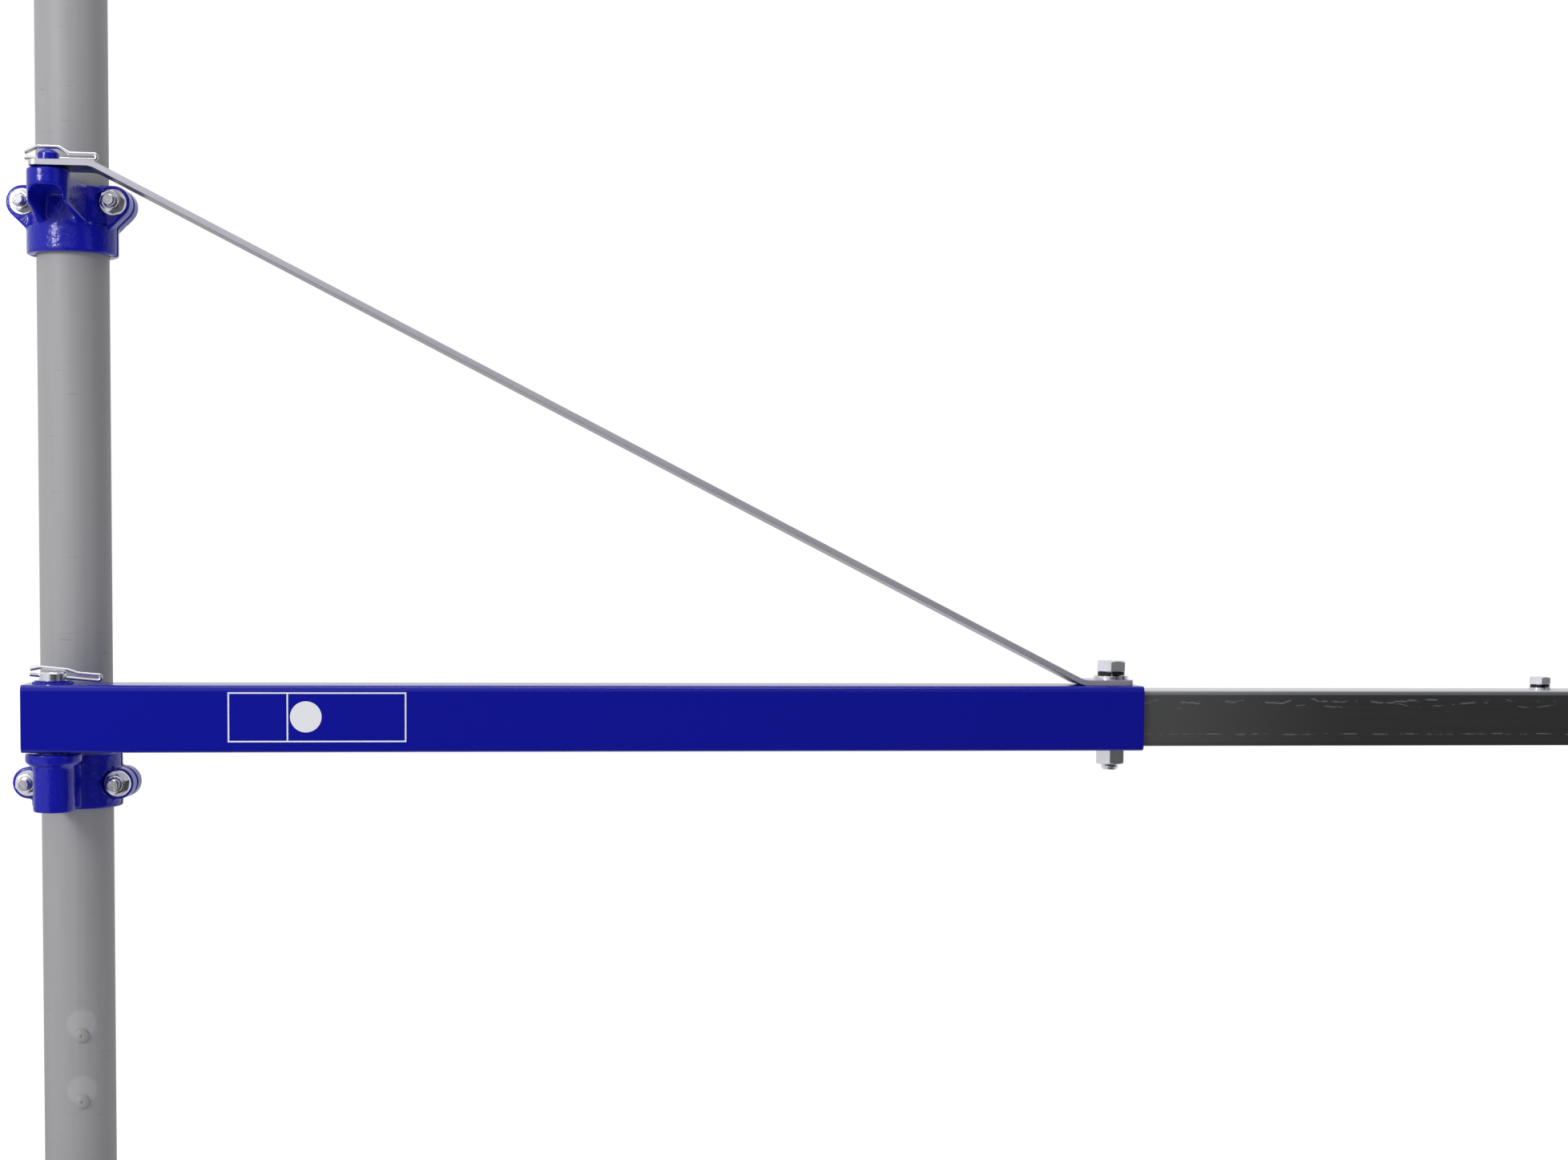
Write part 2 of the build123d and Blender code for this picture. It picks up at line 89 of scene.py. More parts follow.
# Castings: the grain that their skin is drawn in, and how often it is smoothed
cast_grain = 0.6
cast_passes = 26

# Core of the upper clamp's pocket: its foot and roof under the boss's top, the radius of its upper
# corners, and how far in front of the clamp's band it starts
clamp_radius = 30.5
pocket_width = 21.6
pocket_foot = 29.4
pocket_roof = 11.8
pocket_corner = 5.5
pocket_corner_steps = 6
pocket_start = 0.2
pocket_length = 60.0

# Clamp nuts and bolts, M8
clamp_flats = 13.0
clamp_nut_height = 6.6
clamp_flange_radius = 9.4
clamp_flange_height = 1.8
clamp_nut_total = clamp_nut_height + clamp_flange_height
clamp_head_height = 5.3
clamp_thread_radius = 4.0
clamp_thread_pitch = 1.25
clamp_stud_end = 6.0
clamp_ear_depth = 13.0
clamp_nut_turn = 12.0
clamp_head_turn = 20.0

# Bolt at the strut's foot, M12
strut_flats = 19.0
strut_head_height = 7.5
strut_nut_height = 10.4
strut_thread_radius = 6.0
strut_thread_pitch = 1.75

# Stop screw, M8
stop_flats = 13.0
stop_head_height = 5.3
stop_nut_height = 6.5
stop_thread_radius = 4.0
stop_thread_pitch = 1.25

# Low round seat under a head or nut without a flange: its share of the flats, and its height
seat_share = 0.48
seat_height = 0.4

# The bolts on the arm stand with a corner to the front and a little to the left
hex_corner = 15.0

# Spring washers: the room in their hole, the share of their depth that their ends spring apart, how
# much of a turn they go round, and the angle of their slit
spring_room = 0.3
spring_rise = 0.16
spring_turns = 0.965
spring_slit = -105.0

# Weld bead round the bush
weld_off_bush = 0.4
weld_radius = 1.2
weld_drops = 54

# Spring clips, along and over the leg that goes through the pin
clip_wire = 1.3
clip_bend_steps = 10
clip_tip = 15.0
clip_reach = 31.0
clip_loop_width = 3.6
clip_loop_radius = 1.7
clip_flare = 6.5
clip_bend = 4.0
clip_room = 0.2

# Blind rivets on the post, 12 degrees round from its front
rivet_radius = 5.0
rivet_height = 2.4
rivet_pit = 1.5
rivet_pit_rise = 0.4
rivet_sunk = 0.1
patch_radius = 10.0
patch_edge = 1.5
patch_rise = 8.0
post_radius = 24.15
rivet_turn = math.radians(12)
rivet_face = Vector((math.sin(rivet_turn), -math.cos(rivet_turn), 0))
rivet_low, rivet_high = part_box("post_rivets")
rivet_seats = [
    rivet_face * (post_radius - rivet_sunk) * MM + up * height
    for height in (rivet_low.z + rivet_radius * MM, rivet_high.z - rivet_radius * MM)
]


def linear(code):
    """Linear colour of an sRGB hex value."""
    parts = [int(code[i : i + 2], 16) / 255 for i in (1, 3, 5)]
    return tuple(
        c / 12.92 if c <= 0.04045 else ((c + 0.055) / 1.055) ** 2.4 for c in parts
    ) + (1.0,)


def add(tree, kind, feeds=None, **settings):
    """Adds one node to a tree, sets it up, and feeds its inputs with values or with sockets."""
    made = tree.nodes.new(kind)
    for name, value in settings.items():
        setattr(made, name, value)
    for place, value in (feeds or {}).items():
        if isinstance(value, bpy.types.NodeSocket):
            tree.links.new(value, made.inputs[place])
        else:
            made.inputs[place].default_value = value
    return made


def linked(name, data):
    """A new object, put in the scene."""
    made = bpy.data.objects.new(name, data)
    bpy.context.scene.collection.objects.link(made)
    return made


def bare_tree(owner):
    """The node tree of a material or of the world, emptied."""
    owner.use_nodes = True
    owner.node_tree.nodes.clear()
    return owner.node_tree


def new_finish(name, shader_values):
    """A material with one shader, and a vector that counts in millimetres over the piece."""
    material = bpy.data.materials.new(name)
    tree = bare_tree(material)
    shader = add(tree, "ShaderNodeBsdfPrincipled", shader_values)
    add(tree, "ShaderNodeOutputMaterial", {"Surface": shader.outputs["BSDF"]})
    place = add(tree, "ShaderNodeTexCoord").outputs["Object"]
    in_mm = add(
        tree, "ShaderNodeVectorMath", {0: place, "Scale": 1 / MM}, operation="SCALE"
    ).outputs["Vector"]
    return material, tree, shader, in_mm


# Satin grey paint rolled on a steel tube: even grey, faint upright marks and small dark scuffs
post_paint, tree, shader, in_mm = new_finish(
    "satin_grey_paint",
    {"Base Color": linear("#A5A5A8"), "Roughness": 0.5, "Specular IOR Level": 0.4},
)
# roller marks 4 mm wide and 80 mm long
roller_place = add(
    tree, "ShaderNodeMapping", {"Vector": in_mm, "Scale": (1 / 4, 1 / 4, 1 / 80)}
).outputs["Vector"]
roller_marks = add(
    tree, "ShaderNodeTexNoise", {"Vector": roller_place, "Scale": 1.0, "Detail": 5.0}
).outputs["Fac"]
paint_tone = add(
    tree,
    "ShaderNodeMix",
    {"Factor": roller_marks, 6: linear("#A2A2A5"), 7: linear("#ABABAD")},
    data_type="RGBA",
).outputs[2]
# scuffs up to 20 mm long and 2 mm high, left by other tubes
scuff_place = add(
    tree, "ShaderNodeMapping", {"Vector": in_mm, "Scale": (1 / 20, 1 / 20, 1 / 2)}
).outputs["Vector"]
scuff_noise = add(
    tree,
    "ShaderNodeTexNoise",
    {"Vector": scuff_place, "Scale": 1.0, "Detail": 6.0, "Distortion": 0.6},
).outputs["Fac"]
scuffs = add(
    tree,
    "ShaderNodeMapRange",
    {"Value": scuff_noise, "From Min": 0.66, "From Max": 0.72, "To Min": 0.0, "To Max": 0.3},
).outputs["Result"]
scuffed = add(
    tree, "ShaderNodeMix", {"Factor": scuffs, 6: paint_tone, 7: linear("#6F6F70")}, data_type="RGBA"
).outputs[2]
# a paler patch 20 mm across over each rivet, where the paint is wiped
patched = scuffed
for seat in rivet_seats:
    middle = (seat + up * patch_rise * MM) / MM
    away = add(
        tree, "ShaderNodeVectorMath", {0: in_mm, 1: tuple(middle)}, operation="DISTANCE"
    ).outputs["Value"]
    patch = add(
        tree,
        "ShaderNodeMapRange",
        {
            "Value": away,
            "From Min": patch_radius - patch_edge,
            "From Max": patch_radius + patch_edge,
            "To Min": 0.6,
            "To Max": 0.0,
        },
        interpolation_type="SMOOTHSTEP",
    ).outputs["Result"]
    patched = add(
        tree, "ShaderNodeMix", {"Factor": patch, 6: patched, 7: linear("#BBBBBE")}, data_type="RGBA"
    ).outputs[2]
tree.links.new(patched, shader.inputs["Base Color"])
# a roller leaves grains of about 0.5 mm, drawn 1.2 mm wide so that they show
grain = add(
    tree, "ShaderNodeTexNoise", {"Vector": in_mm, "Scale": 1 / 1.2, "Detail": 3.0}
).outputs["Fac"]
skin = add(
    tree, "ShaderNodeBump", {"Height": grain, "Strength": 0.12, "Distance": 0.05 * MM}
).outputs["Normal"]
tree.links.new(skin, shader.inputs["Normal"])


# Gloss blue enamel sprayed on a sand casting: the uneven skin under it breaks up its highlights
cast_enamel, tree, shader, in_mm = new_finish(
    "gloss_blue_enamel_on_casting",
    {"Base Color": linear("#1015AC"), "Roughness": 0.17, "Specular IOR Level": 0.38},
)
# lumps of the mould 4 mm wide, and sand grit of about 0.5 mm drawn 1.4 mm wide so that it shows
lumps = add(
    tree, "ShaderNodeTexNoise", {"Vector": in_mm, "Scale": 1 / 4, "Detail": 2.0}
).outputs["Fac"]
grit = add(
    tree, "ShaderNodeTexNoise", {"Vector": in_mm, "Scale": 1 / 1.4, "Detail": 3.0}
).outputs["Fac"]
under = add(
    tree, "ShaderNodeBump", {"Height": lumps, "Strength": 0.6, "Distance": 0.6 * MM}
).outputs["Normal"]
over = add(
    tree,
    "ShaderNodeBump",
    {"Height": grit, "Normal": under, "Strength": 0.6, "Distance": 0.16 * MM},
).outputs["Normal"]
tree.links.new(over, shader.inputs["Normal"])


# Gloss blue enamel sprayed on drawn tube: nearly flat, with a trace of orange peel
tube_enamel, tree, shader, in_mm = new_finish(
    "gloss_blue_enamel_on_tube",
    {"Base Color": linear("#0B12A2"), "Roughness": 0.16, "Specular IOR Level": 0.38},
)
# orange peel is about 1 mm wide, drawn 3 mm wide so that it shows
peel = add(
    tree, "ShaderNodeTexNoise", {"Vector": in_mm, "Scale": 1 / 3, "Detail": 2.0}
).outputs["Fac"]
skin = add(
    tree, "ShaderNodeBump", {"Height": peel, "Strength": 0.1, "Distance": 0.1 * MM}
).outputs["Normal"]
tree.links.new(skin, shader.inputs["Normal"])


# Bare drawn steel tube, oiled and dark, with chalky rub marks on its sides, and painted light on
# it: a painted highlight on its top and a lighter stretch next to the arm
extension_steel, tree, shader, in_mm = new_finish(
    "oiled_dark_steel", {"Base Color": linear("#4B4B4C"), "Metallic": 0.4, "Roughness": 0.36}
)
axes = add(tree, "ShaderNodeSeparateXYZ", {"Vector": in_mm})
arm_level = pivot.z / MM
extension_half = 19.5
# drawing lines of about 0.2 mm, drawn 2 mm wide so that they show, and 250 mm long
drawn_place = add(
    tree, "ShaderNodeMapping", {"Vector": in_mm, "Scale": (1 / 250, 1 / 2, 1 / 2)}
).outputs["Vector"]
drawn_lines = add(
    tree, "ShaderNodeTexNoise", {"Vector": drawn_place, "Scale": 1.0, "Detail": 4.0}
).outputs["Fac"]
steel_tone = add(
    tree,
    "ShaderNodeMix",
    {"Factor": drawn_lines, 6: linear("#404041"), 7: linear("#4C4C4D")},
    data_type="RGBA",
).outputs[2]
# painted light: the stretch next to the arm is painted lighter and fades to the plain oiled tone
# towards the end, as the lamp at the left falls off
painted_falloff = add(
    tree,
    "ShaderNodeMapRange",
    {
        "Value": axes.outputs["X"],
        "From Min": 730.0,
        "From Max": 900.0,
        "To Min": 0.75,
        "To Max": 0.0,
    },
    interpolation_type="SMOOTHSTEP",
).outputs["Result"]
lit_steel_tone = add(
    tree, "ShaderNodeMix", {"Factor": painted_falloff, 6: steel_tone, 7: linear("#6C6D6E")}, data_type="RGBA"
).outputs[2]
# painted highlight: the tube's top and the edge of its top are painted pale, where light from above
# falls on them. Each has the depths under the top at which it begins and is full, and its share
top_highlight_bands = []
for begin, full, share in ((1.4, 0.2, 0.9), (3.4, 2.6, 0.22)):
    top_highlight_bands.append(
        add(
            tree,
            "ShaderNodeMapRange",
            {
                "Value": axes.outputs["Z"],
                "From Min": arm_level + extension_half - begin,
                "From Max": arm_level + extension_half - full,
                "To Min": 0.0,
                "To Max": share,
            },
        ).outputs["Result"]
    )
painted_top_highlight = add(
    tree, "ShaderNodeMath", {0: top_highlight_bands[0], 1: top_highlight_bands[1]}, operation="MAXIMUM"
).outputs["Value"]
painted_light_and_rub_marks = add(
    tree, "ShaderNodeMix", {"Factor": painted_top_highlight, 6: lit_steel_tone, 7: linear("#E6E7EA")}, data_type="RGBA"
).outputs[2]
# rub marks that wander over 28 mm and break off every 11 mm or so. Each has its height over the
# arm's centre line, its wander and half width, and the level of the noise at which it shows, and
# the height also gives each its own stretch of the noise
for height, wander, half_width, covered in (
    (12.0, 7.0, 0.55, 0.52),
    (9.0, 9.0, 0.35, 0.56),
    (-11.0, 1.2, 0.4, 0.5),
):
    along = add(
        tree, "ShaderNodeCombineXYZ", {"X": axes.outputs["X"], "Y": height * 7.0}
    ).outputs["Vector"]
    sway = add(
        tree, "ShaderNodeTexNoise", {"Vector": along, "Scale": 1 / 28, "Detail": 4.0}
    ).outputs["Fac"]
    sway_height = add(
        tree,
        "ShaderNodeMapRange",
        {
            "Value": sway,
            "From Min": 0.0,
            "From Max": 1.0,
            "To Min": arm_level + height - wander,
            "To Max": arm_level + height + wander,
        },
    ).outputs["Result"]
    off_line = add(
        tree, "ShaderNodeMath", {0: axes.outputs["Z"], 1: sway_height}, operation="SUBTRACT"
    ).outputs["Value"]
    distance = add(tree, "ShaderNodeMath", {0: off_line}, operation="ABSOLUTE").outputs["Value"]
    line = add(
        tree,
        "ShaderNodeMapRange",
        {
            "Value": distance,
            "From Min": half_width * 0.3,
            "From Max": half_width * 1.4,
            "To Min": 1.0,
            "To Max": 0.0,
        },
    ).outputs["Result"]
    gap_noise = add(
        tree, "ShaderNodeTexNoise", {"Vector": along, "Scale": 1 / 11, "Detail": 6.0}
    ).outputs["Fac"]
    shown = add(
        tree,
        "ShaderNodeMapRange",
        {
            "Value": gap_noise,
            "From Min": covered - 0.03,
            "From Max": covered + 0.06,
            "To Min": 0.0,
            "To Max": 0.6,
        },
    ).outputs["Result"]
    share = add(tree, "ShaderNodeMath", {0: line, 1: shown}, operation="MULTIPLY").outputs["Value"]
    painted_light_and_rub_marks = add(
        tree, "ShaderNodeMix", {"Factor": share, 6: painted_light_and_rub_marks, 7: linear("#A6A7A8")}, data_type="RGBA"
    ).outputs[2]
tree.links.new(painted_light_and_rub_marks, shader.inputs["Base Color"])
rub = add(
    tree, "ShaderNodeBump", {"Height": drawn_lines, "Strength": 0.2, "Distance": 0.05 * MM}
).outputs["Normal"]
tree.links.new(rub, shader.inputs["Normal"])


# Zinc plated hot rolled bar: soft cool sheen with lines along its length
bar_zinc, tree, shader, in_mm = new_finish(
    "zinc_plated_bar", {"Base Color": linear("#D2D0DC"), "Metallic": 1.0, "Roughness": 0.32}
)
# rolling lines 100 mm long and 2 mm wide across the bar
rolled_place = add(
    tree, "ShaderNodeMapping", {"Vector": in_mm, "Scale": (1 / 100, 1 / 2, 1 / 20)}
).outputs["Vector"]
rolled = add(
    tree, "ShaderNodeTexNoise", {"Vector": rolled_place, "Scale": 1.0, "Detail": 4.0}
).outputs["Fac"]
bar_tone = add(
    tree,
    "ShaderNodeMix",
    {"Factor": rolled, 6: linear("#CAC8D4"), 7: linear("#DBDAE4")},
    data_type="RGBA",
).outputs[2]
# a painted reflection: the underside is painted darker, most near the post, where the zinc mirrors
# the blue clamp and post, and its edges are sheared and dull
facing = add(tree, "ShaderNodeTexCoord").outputs["Normal"]
facing = add(tree, "ShaderNodeSeparateXYZ", {"Vector": facing}).outputs
along = add(tree, "ShaderNodeSeparateXYZ", {"Vector": in_mm}).outputs["X"]
painted_reflection_level = add(
    tree,
    "ShaderNodeMapRange",
    {"Value": along, "From Min": 120.0, "From Max": 330.0, "To Min": 0.28, "To Max": 0.5},
).outputs["Result"]
painted_underside_shade = add(
    tree,
    "ShaderNodeMapRange",
    {"Value": facing["Z"], "From Min": -0.6, "From Max": -0.4, "To Min": painted_reflection_level, "To Max": 1.0},
).outputs["Result"]
bar_tone = add(
    tree, "ShaderNodeVectorMath", {0: bar_tone, "Scale": painted_underside_shade}, operation="SCALE"
).outputs["Vector"]
tree.links.new(bar_tone, shader.inputs["Base Color"])
bar_metal = add(
    tree,
    "ShaderNodeMapRange",
    {"Value": facing["Y"], "From Min": -0.9, "From Max": -0.7, "To Min": 0.6, "To Max": 1.0},
).outputs["Result"]
tree.links.new(bar_metal, shader.inputs["Metallic"])
bar_rough = add(
    tree, "ShaderNodeMapRange", {"Value": rolled, "To Min": 0.28, "To Max": 0.36}
).outputs["Result"]
tree.links.new(bar_rough, shader.inputs["Roughness"])


# Bright zinc plate with blue passivation: pale cool metal, slightly cloudy
bolt_zinc, tree, shader, in_mm = new_finish(
    "bright_zinc_plate", {"Base Color": linear("#E4E5EC"), "Metallic": 1.0, "Roughness": 0.2}
)
# the crystals are too fine to see, so the clouds are drawn 1.7 mm wide
cloud = add(
    tree, "ShaderNodeTexNoise", {"Vector": in_mm, "Scale": 1 / 1.7, "Detail": 3.0}
).outputs["Fac"]
zinc_tone = add(
    tree,
    "ShaderNodeMix",
    {"Factor": cloud, 6: linear("#E0E1EA"), 7: linear("#EFEFF5")},
    data_type="RGBA",
).outputs[2]
tree.links.new(zinc_tone, shader.inputs["Base Color"])
zinc_rough = add(
    tree, "ShaderNodeMapRange", {"Value": cloud, "To Min": 0.17, "To Max": 0.24}
).outputs["Result"]
tree.links.new(zinc_rough, shader.inputs["Roughness"])


# Phosphated spring steel: near black with a dull sheen
dark_spring = new_finish(
    "phosphated_spring_steel", {"Base Color": linear("#2A2A2D"), "Metallic": 0.7, "Roughness": 0.42}
)[0]

# Bright drawn spring wire: close to chrome
bright_wire = new_finish(
    "bright_spring_wire", {"Base Color": linear("#E9E9ED"), "Metallic": 1.0, "Roughness": 0.22}
)[0]

# Aluminium blind rivet painted over with the post: the paint's grey, a little smoother
rivet_paint = new_finish(
    "painted_rivet", {"Base Color": linear("#A6A6A5"), "Roughness": 0.42, "Specular IOR Level": 0.4}
)[0]

# White screen ink: thin and matt on the enamel
white_ink = new_finish(
    "white_screen_ink", {"Base Color": linear("#F6F8FF"), "Roughness": 0.45}
)[0]


def settle(piece, body, nodes, finish=None):
    """Gives a finished piece its material and body, and hides the frame nodes it stands for."""
    if finish is not None:
        piece.data.materials.clear()
        piece.data.materials.append(finish)
    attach(piece, body)
    if nodes:
        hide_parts(*nodes)


def merged_copy(node, name):
    """A copy of a frame node as one tidy skin: loose triangles joined, flat areas made whole."""
    mesh = frame["nodes"][node].data.copy()
    skin = bmesh.new()
    skin.from_mesh(mesh)
    bmesh.ops.remove_doubles(skin, verts=skin.verts, dist=join_within * MM)
    bmesh.ops.dissolve_limit(
        skin, angle_limit=math.radians(flat_within), verts=skin.verts, edges=skin.edges
    )
    skin.to_mesh(mesh)
    skin.free()
    for layer in list(mesh.uv_layers):
        mesh.uv_layers.remove(layer)
    return linked(name, mesh)


def bake_modifiers(piece):
    """Turns what the modifiers make into the piece's own mesh, and takes them off."""
    shown = bpy.context.evaluated_depsgraph_get()
    shown.update()
    mesh = bpy.data.meshes.new_from_object(piece.evaluated_get(shown), depsgraph=shown)
    piece.modifiers.clear()
    piece.data = mesh


def smooth_by_angle(piece, degrees):
    """Smooth shading, with edges kept where the skin bends more than so many degrees."""
    piece.data.shade_smooth()
    piece.data.set_sharp_from_angle(angle=math.radians(degrees))


def machined(node, body, finish, edge):
    """A drawn or turned piece: the node's own form with its sharp edges broken by a small round."""
    piece = merged_copy(node, node + "_piece")
    rounds = piece.modifiers.new("edges", "BEVEL")
    rounds.width = edge * MM
    rounds.segments = 2
    rounds.limit_method = "ANGLE"
    rounds.angle_limit = math.radians(round_from)
    rounds.use_clamp_overlap = True
    bake_modifiers(piece)
    smooth_by_angle(piece, smooth_below)
    # the large faces keep their own normals, so that they mirror as flat ones
    flats = piece.modifiers.new("flats", "WEIGHTED_NORMAL")
    flats.keep_sharp = True
    bake_modifiers(piece)
    settle(piece, body, [node], finish)


def pocket_core(width, low, top, corner, start, length):
    """The core that leaves the clamp's pocket: a bar with rounded shoulders, pointing forward."""
    half = width / 2
    outline = [(-half, low), (half, low)]
    for side, first in ((1, 0), (-1, 90)):
        for step in range(pocket_corner_steps + 1):
            angle = math.radians(first + step * 90 / pocket_corner_steps)
            outline.append((
                side * (half - corner) + corner * math.cos(angle),
                top - corner + corner * math.sin(angle),
            ))
    core = bmesh.new()
    near, far = (
        [core.verts.new((across * x * MM) + up * z * MM + forward * y * MM) for x, z in outline]
        for y in (start, start + length)
    )
    core.faces.new(near)
    core.faces.new(far)
    for i in range(len(outline)):
        core.faces.new((near[i], near[i - 1], far[i - 1], far[i]))
    bmesh.ops.recalc_face_normals(core, faces=core.faces)
    mesh = bpy.data.meshes.new("pocket_core")
    core.to_mesh(mesh)
    core.free()
    return linked("pocket_core", mesh)


def casting(node, core=None):
    """A sand casting: the node's form, cored, its edges and inner corners run out to a radius."""
    piece = merged_copy(node, node + "_piece")
    if core is not None:
        cored = piece.modifiers.new("cored", "BOOLEAN")
        cored.operation = "DIFFERENCE"
        cored.solver = "EXACT"
        cored.object = core
        bake_modifiers(piece)
        bpy.data.objects.remove(core)
    skin = piece.modifiers.new("skin", "REMESH")
    skin.mode = "VOXEL"
    skin.voxel_size = cast_grain * MM
    soft = piece.modifiers.new("radii", "SMOOTH")
    soft.factor = 0.5
    soft.iterations = cast_passes
    bake_modifiers(piece)
    piece.data.shade_smooth()
    settle(piece, "post", [node], cast_enamel)


# Castings. The core of the upper clamp's pocket squares out the shoulders of its arch
boss_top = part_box("upper_clamp_front")[1].z / MM
upper_core = pocket_core(
    width=pocket_width,
    low=boss_top - pocket_foot,
    top=boss_top - pocket_roof,
    corner=pocket_corner,
    start=clamp_radius + pocket_start,
    length=pocket_length,
)
casting("upper_clamp_front", upper_core)
for node in ("upper_clamp_rear", "lower_clamp_front", "lower_clamp_rear"):
    casting(node)

# Drawn, rolled and turned pieces, each with the round on its edges
for node, body, slot, finish, edge in (
    ("post", "post", "post_paint", post_paint, 0.4),
    ("arm_tube", "arm", "arm_enamel", tube_enamel, 0.5),
    ("extension_tube", "arm", "extension_paint", extension_steel, 0.4),
    ("strut", "arm", "strut_zinc", bar_zinc, 0.5),
    ("pivot_bush", "arm", "arm_enamel", tube_enamel, 0.4),
    ("upper_pivot_pin", "post", "arm_enamel", cast_enamel, 0.3),
    ("lower_pivot_pin", "post", "fastener_zinc", bolt_zinc, 0.3),
    ("strut_washer", "arm", "fastener_zinc", bolt_zinc, 0.2),
    ("stop_washer", "arm", "fastener_zinc", bolt_zinc, 0.2),
):
    machined(node, body, finish, edge)


def new_shape(name, sizes):
    """A geometry tree with named inputs for its sizes, places and turns, and for the material."""
    kinds = {
        float: "NodeSocketFloat",
        int: "NodeSocketInt",
        bool: "NodeSocketBool",
        tuple: "NodeSocketVector",
    }
    tree = bpy.data.node_groups.new(name, "GeometryNodeTree")
    tree.interface.new_socket("Geometry", in_out="INPUT", socket_type="NodeSocketGeometry")
    for label, value in sizes.items():
        socket = tree.interface.new_socket(label, in_out="INPUT", socket_type=kinds[type(value)])
        socket.default_value = value
    tree.interface.new_socket("Finish", in_out="INPUT", socket_type="NodeSocketMaterial")
    tree.interface.new_socket("Geometry", in_out="OUTPUT", socket_type="NodeSocketGeometry")
    return tree, add(tree, "NodeGroupInput").outputs


def end_shape(tree, given, shape):
    """Ends a geometry tree: instances made real, then the material."""
    real = add(tree, "GeometryNodeRealizeInstances", {"Geometry": shape}).outputs["Geometry"]
    painted = add(tree, "GeometryNodeSetMaterial", {"Geometry": real, "Material": given["Finish"]})
    add(tree, "NodeGroupOutput", {"Geometry": painted.outputs["Geometry"]})


def shaped(name, tree, host, sizes, finish, body, nodes=(), smooth=shape_smooth):
    """Runs a geometry tree on a host mesh, makes a plain piece of the result, and settles it."""
    piece = linked(name, host)
    shape = piece.modifiers.new("shape", "NODES")
    shape.node_group = tree
    for socket in tree.interface.items_tree:
        if socket.item_type == "SOCKET" and socket.in_out == "INPUT":
            if socket.name in sizes:
                shape[socket.identifier] = sizes[socket.name]
            elif socket.name == "Finish":
                shape[socket.identifier] = finish
    bake_modifiers(piece)
    smooth_by_angle(piece, smooth)
    settle(piece, body, nodes)


def marked_points(places, direction):
    """A host mesh of single points that all face one way."""
    host = bpy.data.meshes.new("points")
    host.from_pydata([tuple(p) for p in places], [], [])
    facing = host.attributes.new("facing", "FLOAT_VECTOR", "POINT")
    facing.data.foreach_set("vector", [*direction] * len(places))
    return host


def marked_path(points, bends):
    """A host mesh of one open line, each point with the radius of its bend."""
    host = bpy.data.meshes.new("path")
    host.from_pydata([tuple(p) for p in points], [(i, i + 1) for i in range(len(points) - 1)], [])
    bend = host.attributes.new("bend", "FLOAT", "POINT")
    bend.data.foreach_set("value", bends)
    return host


def instanced(tree, given, shape):
    """Puts a shape on each host point, its Z turned to the way the point faces."""
    facing = add(
        tree, "GeometryNodeInputNamedAttribute", {"Name": "facing"}, data_type="FLOAT_VECTOR"
    )
    turned = add(
        tree, "FunctionNodeAlignRotationToVector", {"Vector": facing.outputs["Attribute"]}, axis="Z"
    )
    return add(
        tree,
        "GeometryNodeInstanceOnPoints",
        {"Points": given["Geometry"], "Instance": shape, "Rotation": turned.outputs["Rotation"]},
    ).outputs["Instances"]


def upright(height):
    """A place so high over the seat."""
    return (0.0, 0.0, height * MM)


def hexagon_sizes(flats, height, flange_radius, flange_height, turned, bore_radius=None):
    """Sizes of a hexagon head or nut.

    The crown's radius is 0.485 of the flats, under a chamfer that rises at 30 degrees, and the
    flange narrows to 0.93 of its radius. A bore has a sink of 1.4 to 0.6 of its radius.
    """
    crown = flats * 0.485
    bore = bore_radius or 1.0
    total = height + flange_height
    return {
        "Corner radius": flats / math.sqrt(3) * MM,
        "Height": height * MM,
        "Turned": (0.0, 0.0, math.radians(turned)),
        "Crown radius": crown * MM,
        "Chamfer foot radius": (crown + height * math.sqrt(3)) * MM,
        "Chamfer place": upright(-height / 2),
        "Place": upright(flange_height + height / 2),
        "Flange radius": flange_radius * MM,
        "Flange top radius": flange_radius * 0.93 * MM,
        "Flange height": flange_height * MM,
        "Bored": bore_radius is not None,
        "Bore radius": bore * MM,
        "Bore length": total * 4 * MM,
        "Sink mouth radius": bore * 1.4 * MM,
        "Sink end radius": bore * 0.6 * MM,
        "Sink depth": bore * 0.5 * MM,
        "Sink place": upright(total - bore * 0.35),
    }


# Hexagon head or nut: six flats, the free face turned to a chamfer, and under it a flange or a seat
clamp_nut_sizes = hexagon_sizes(
    clamp_flats, clamp_nut_height, clamp_flange_radius, clamp_flange_height, clamp_nut_turn,
    clamp_thread_radius,
)
hexagon, given = new_shape("hexagon_piece", clamp_nut_sizes)
prism = add(
    hexagon,
    "GeometryNodeMeshCylinder",
    {"Vertices": 6, "Radius": given["Corner radius"], "Depth": given["Height"]},
).outputs["Mesh"]
turned_prism = add(
    hexagon, "GeometryNodeTransform", {"Geometry": prism, "Rotation": given["Turned"]}
).outputs["Geometry"]
chamfer = add(
    hexagon,
    "GeometryNodeMeshCone",
    {
        "Vertices": 64,
        "Radius Top": given["Crown radius"],
        "Radius Bottom": given["Chamfer foot radius"],
        "Depth": given["Height"],
    },
).outputs["Mesh"]
chamfer = add(
    hexagon, "GeometryNodeTransform", {"Geometry": chamfer, "Translation": given["Chamfer place"]}
).outputs["Geometry"]
chamfered = add(
    hexagon,
    "GeometryNodeMeshBoolean",
    {"Mesh 2": turned_prism},
    operation="INTERSECT",
    solver="EXACT",
)
hexagon.links.new(chamfer, chamfered.inputs["Mesh 2"])
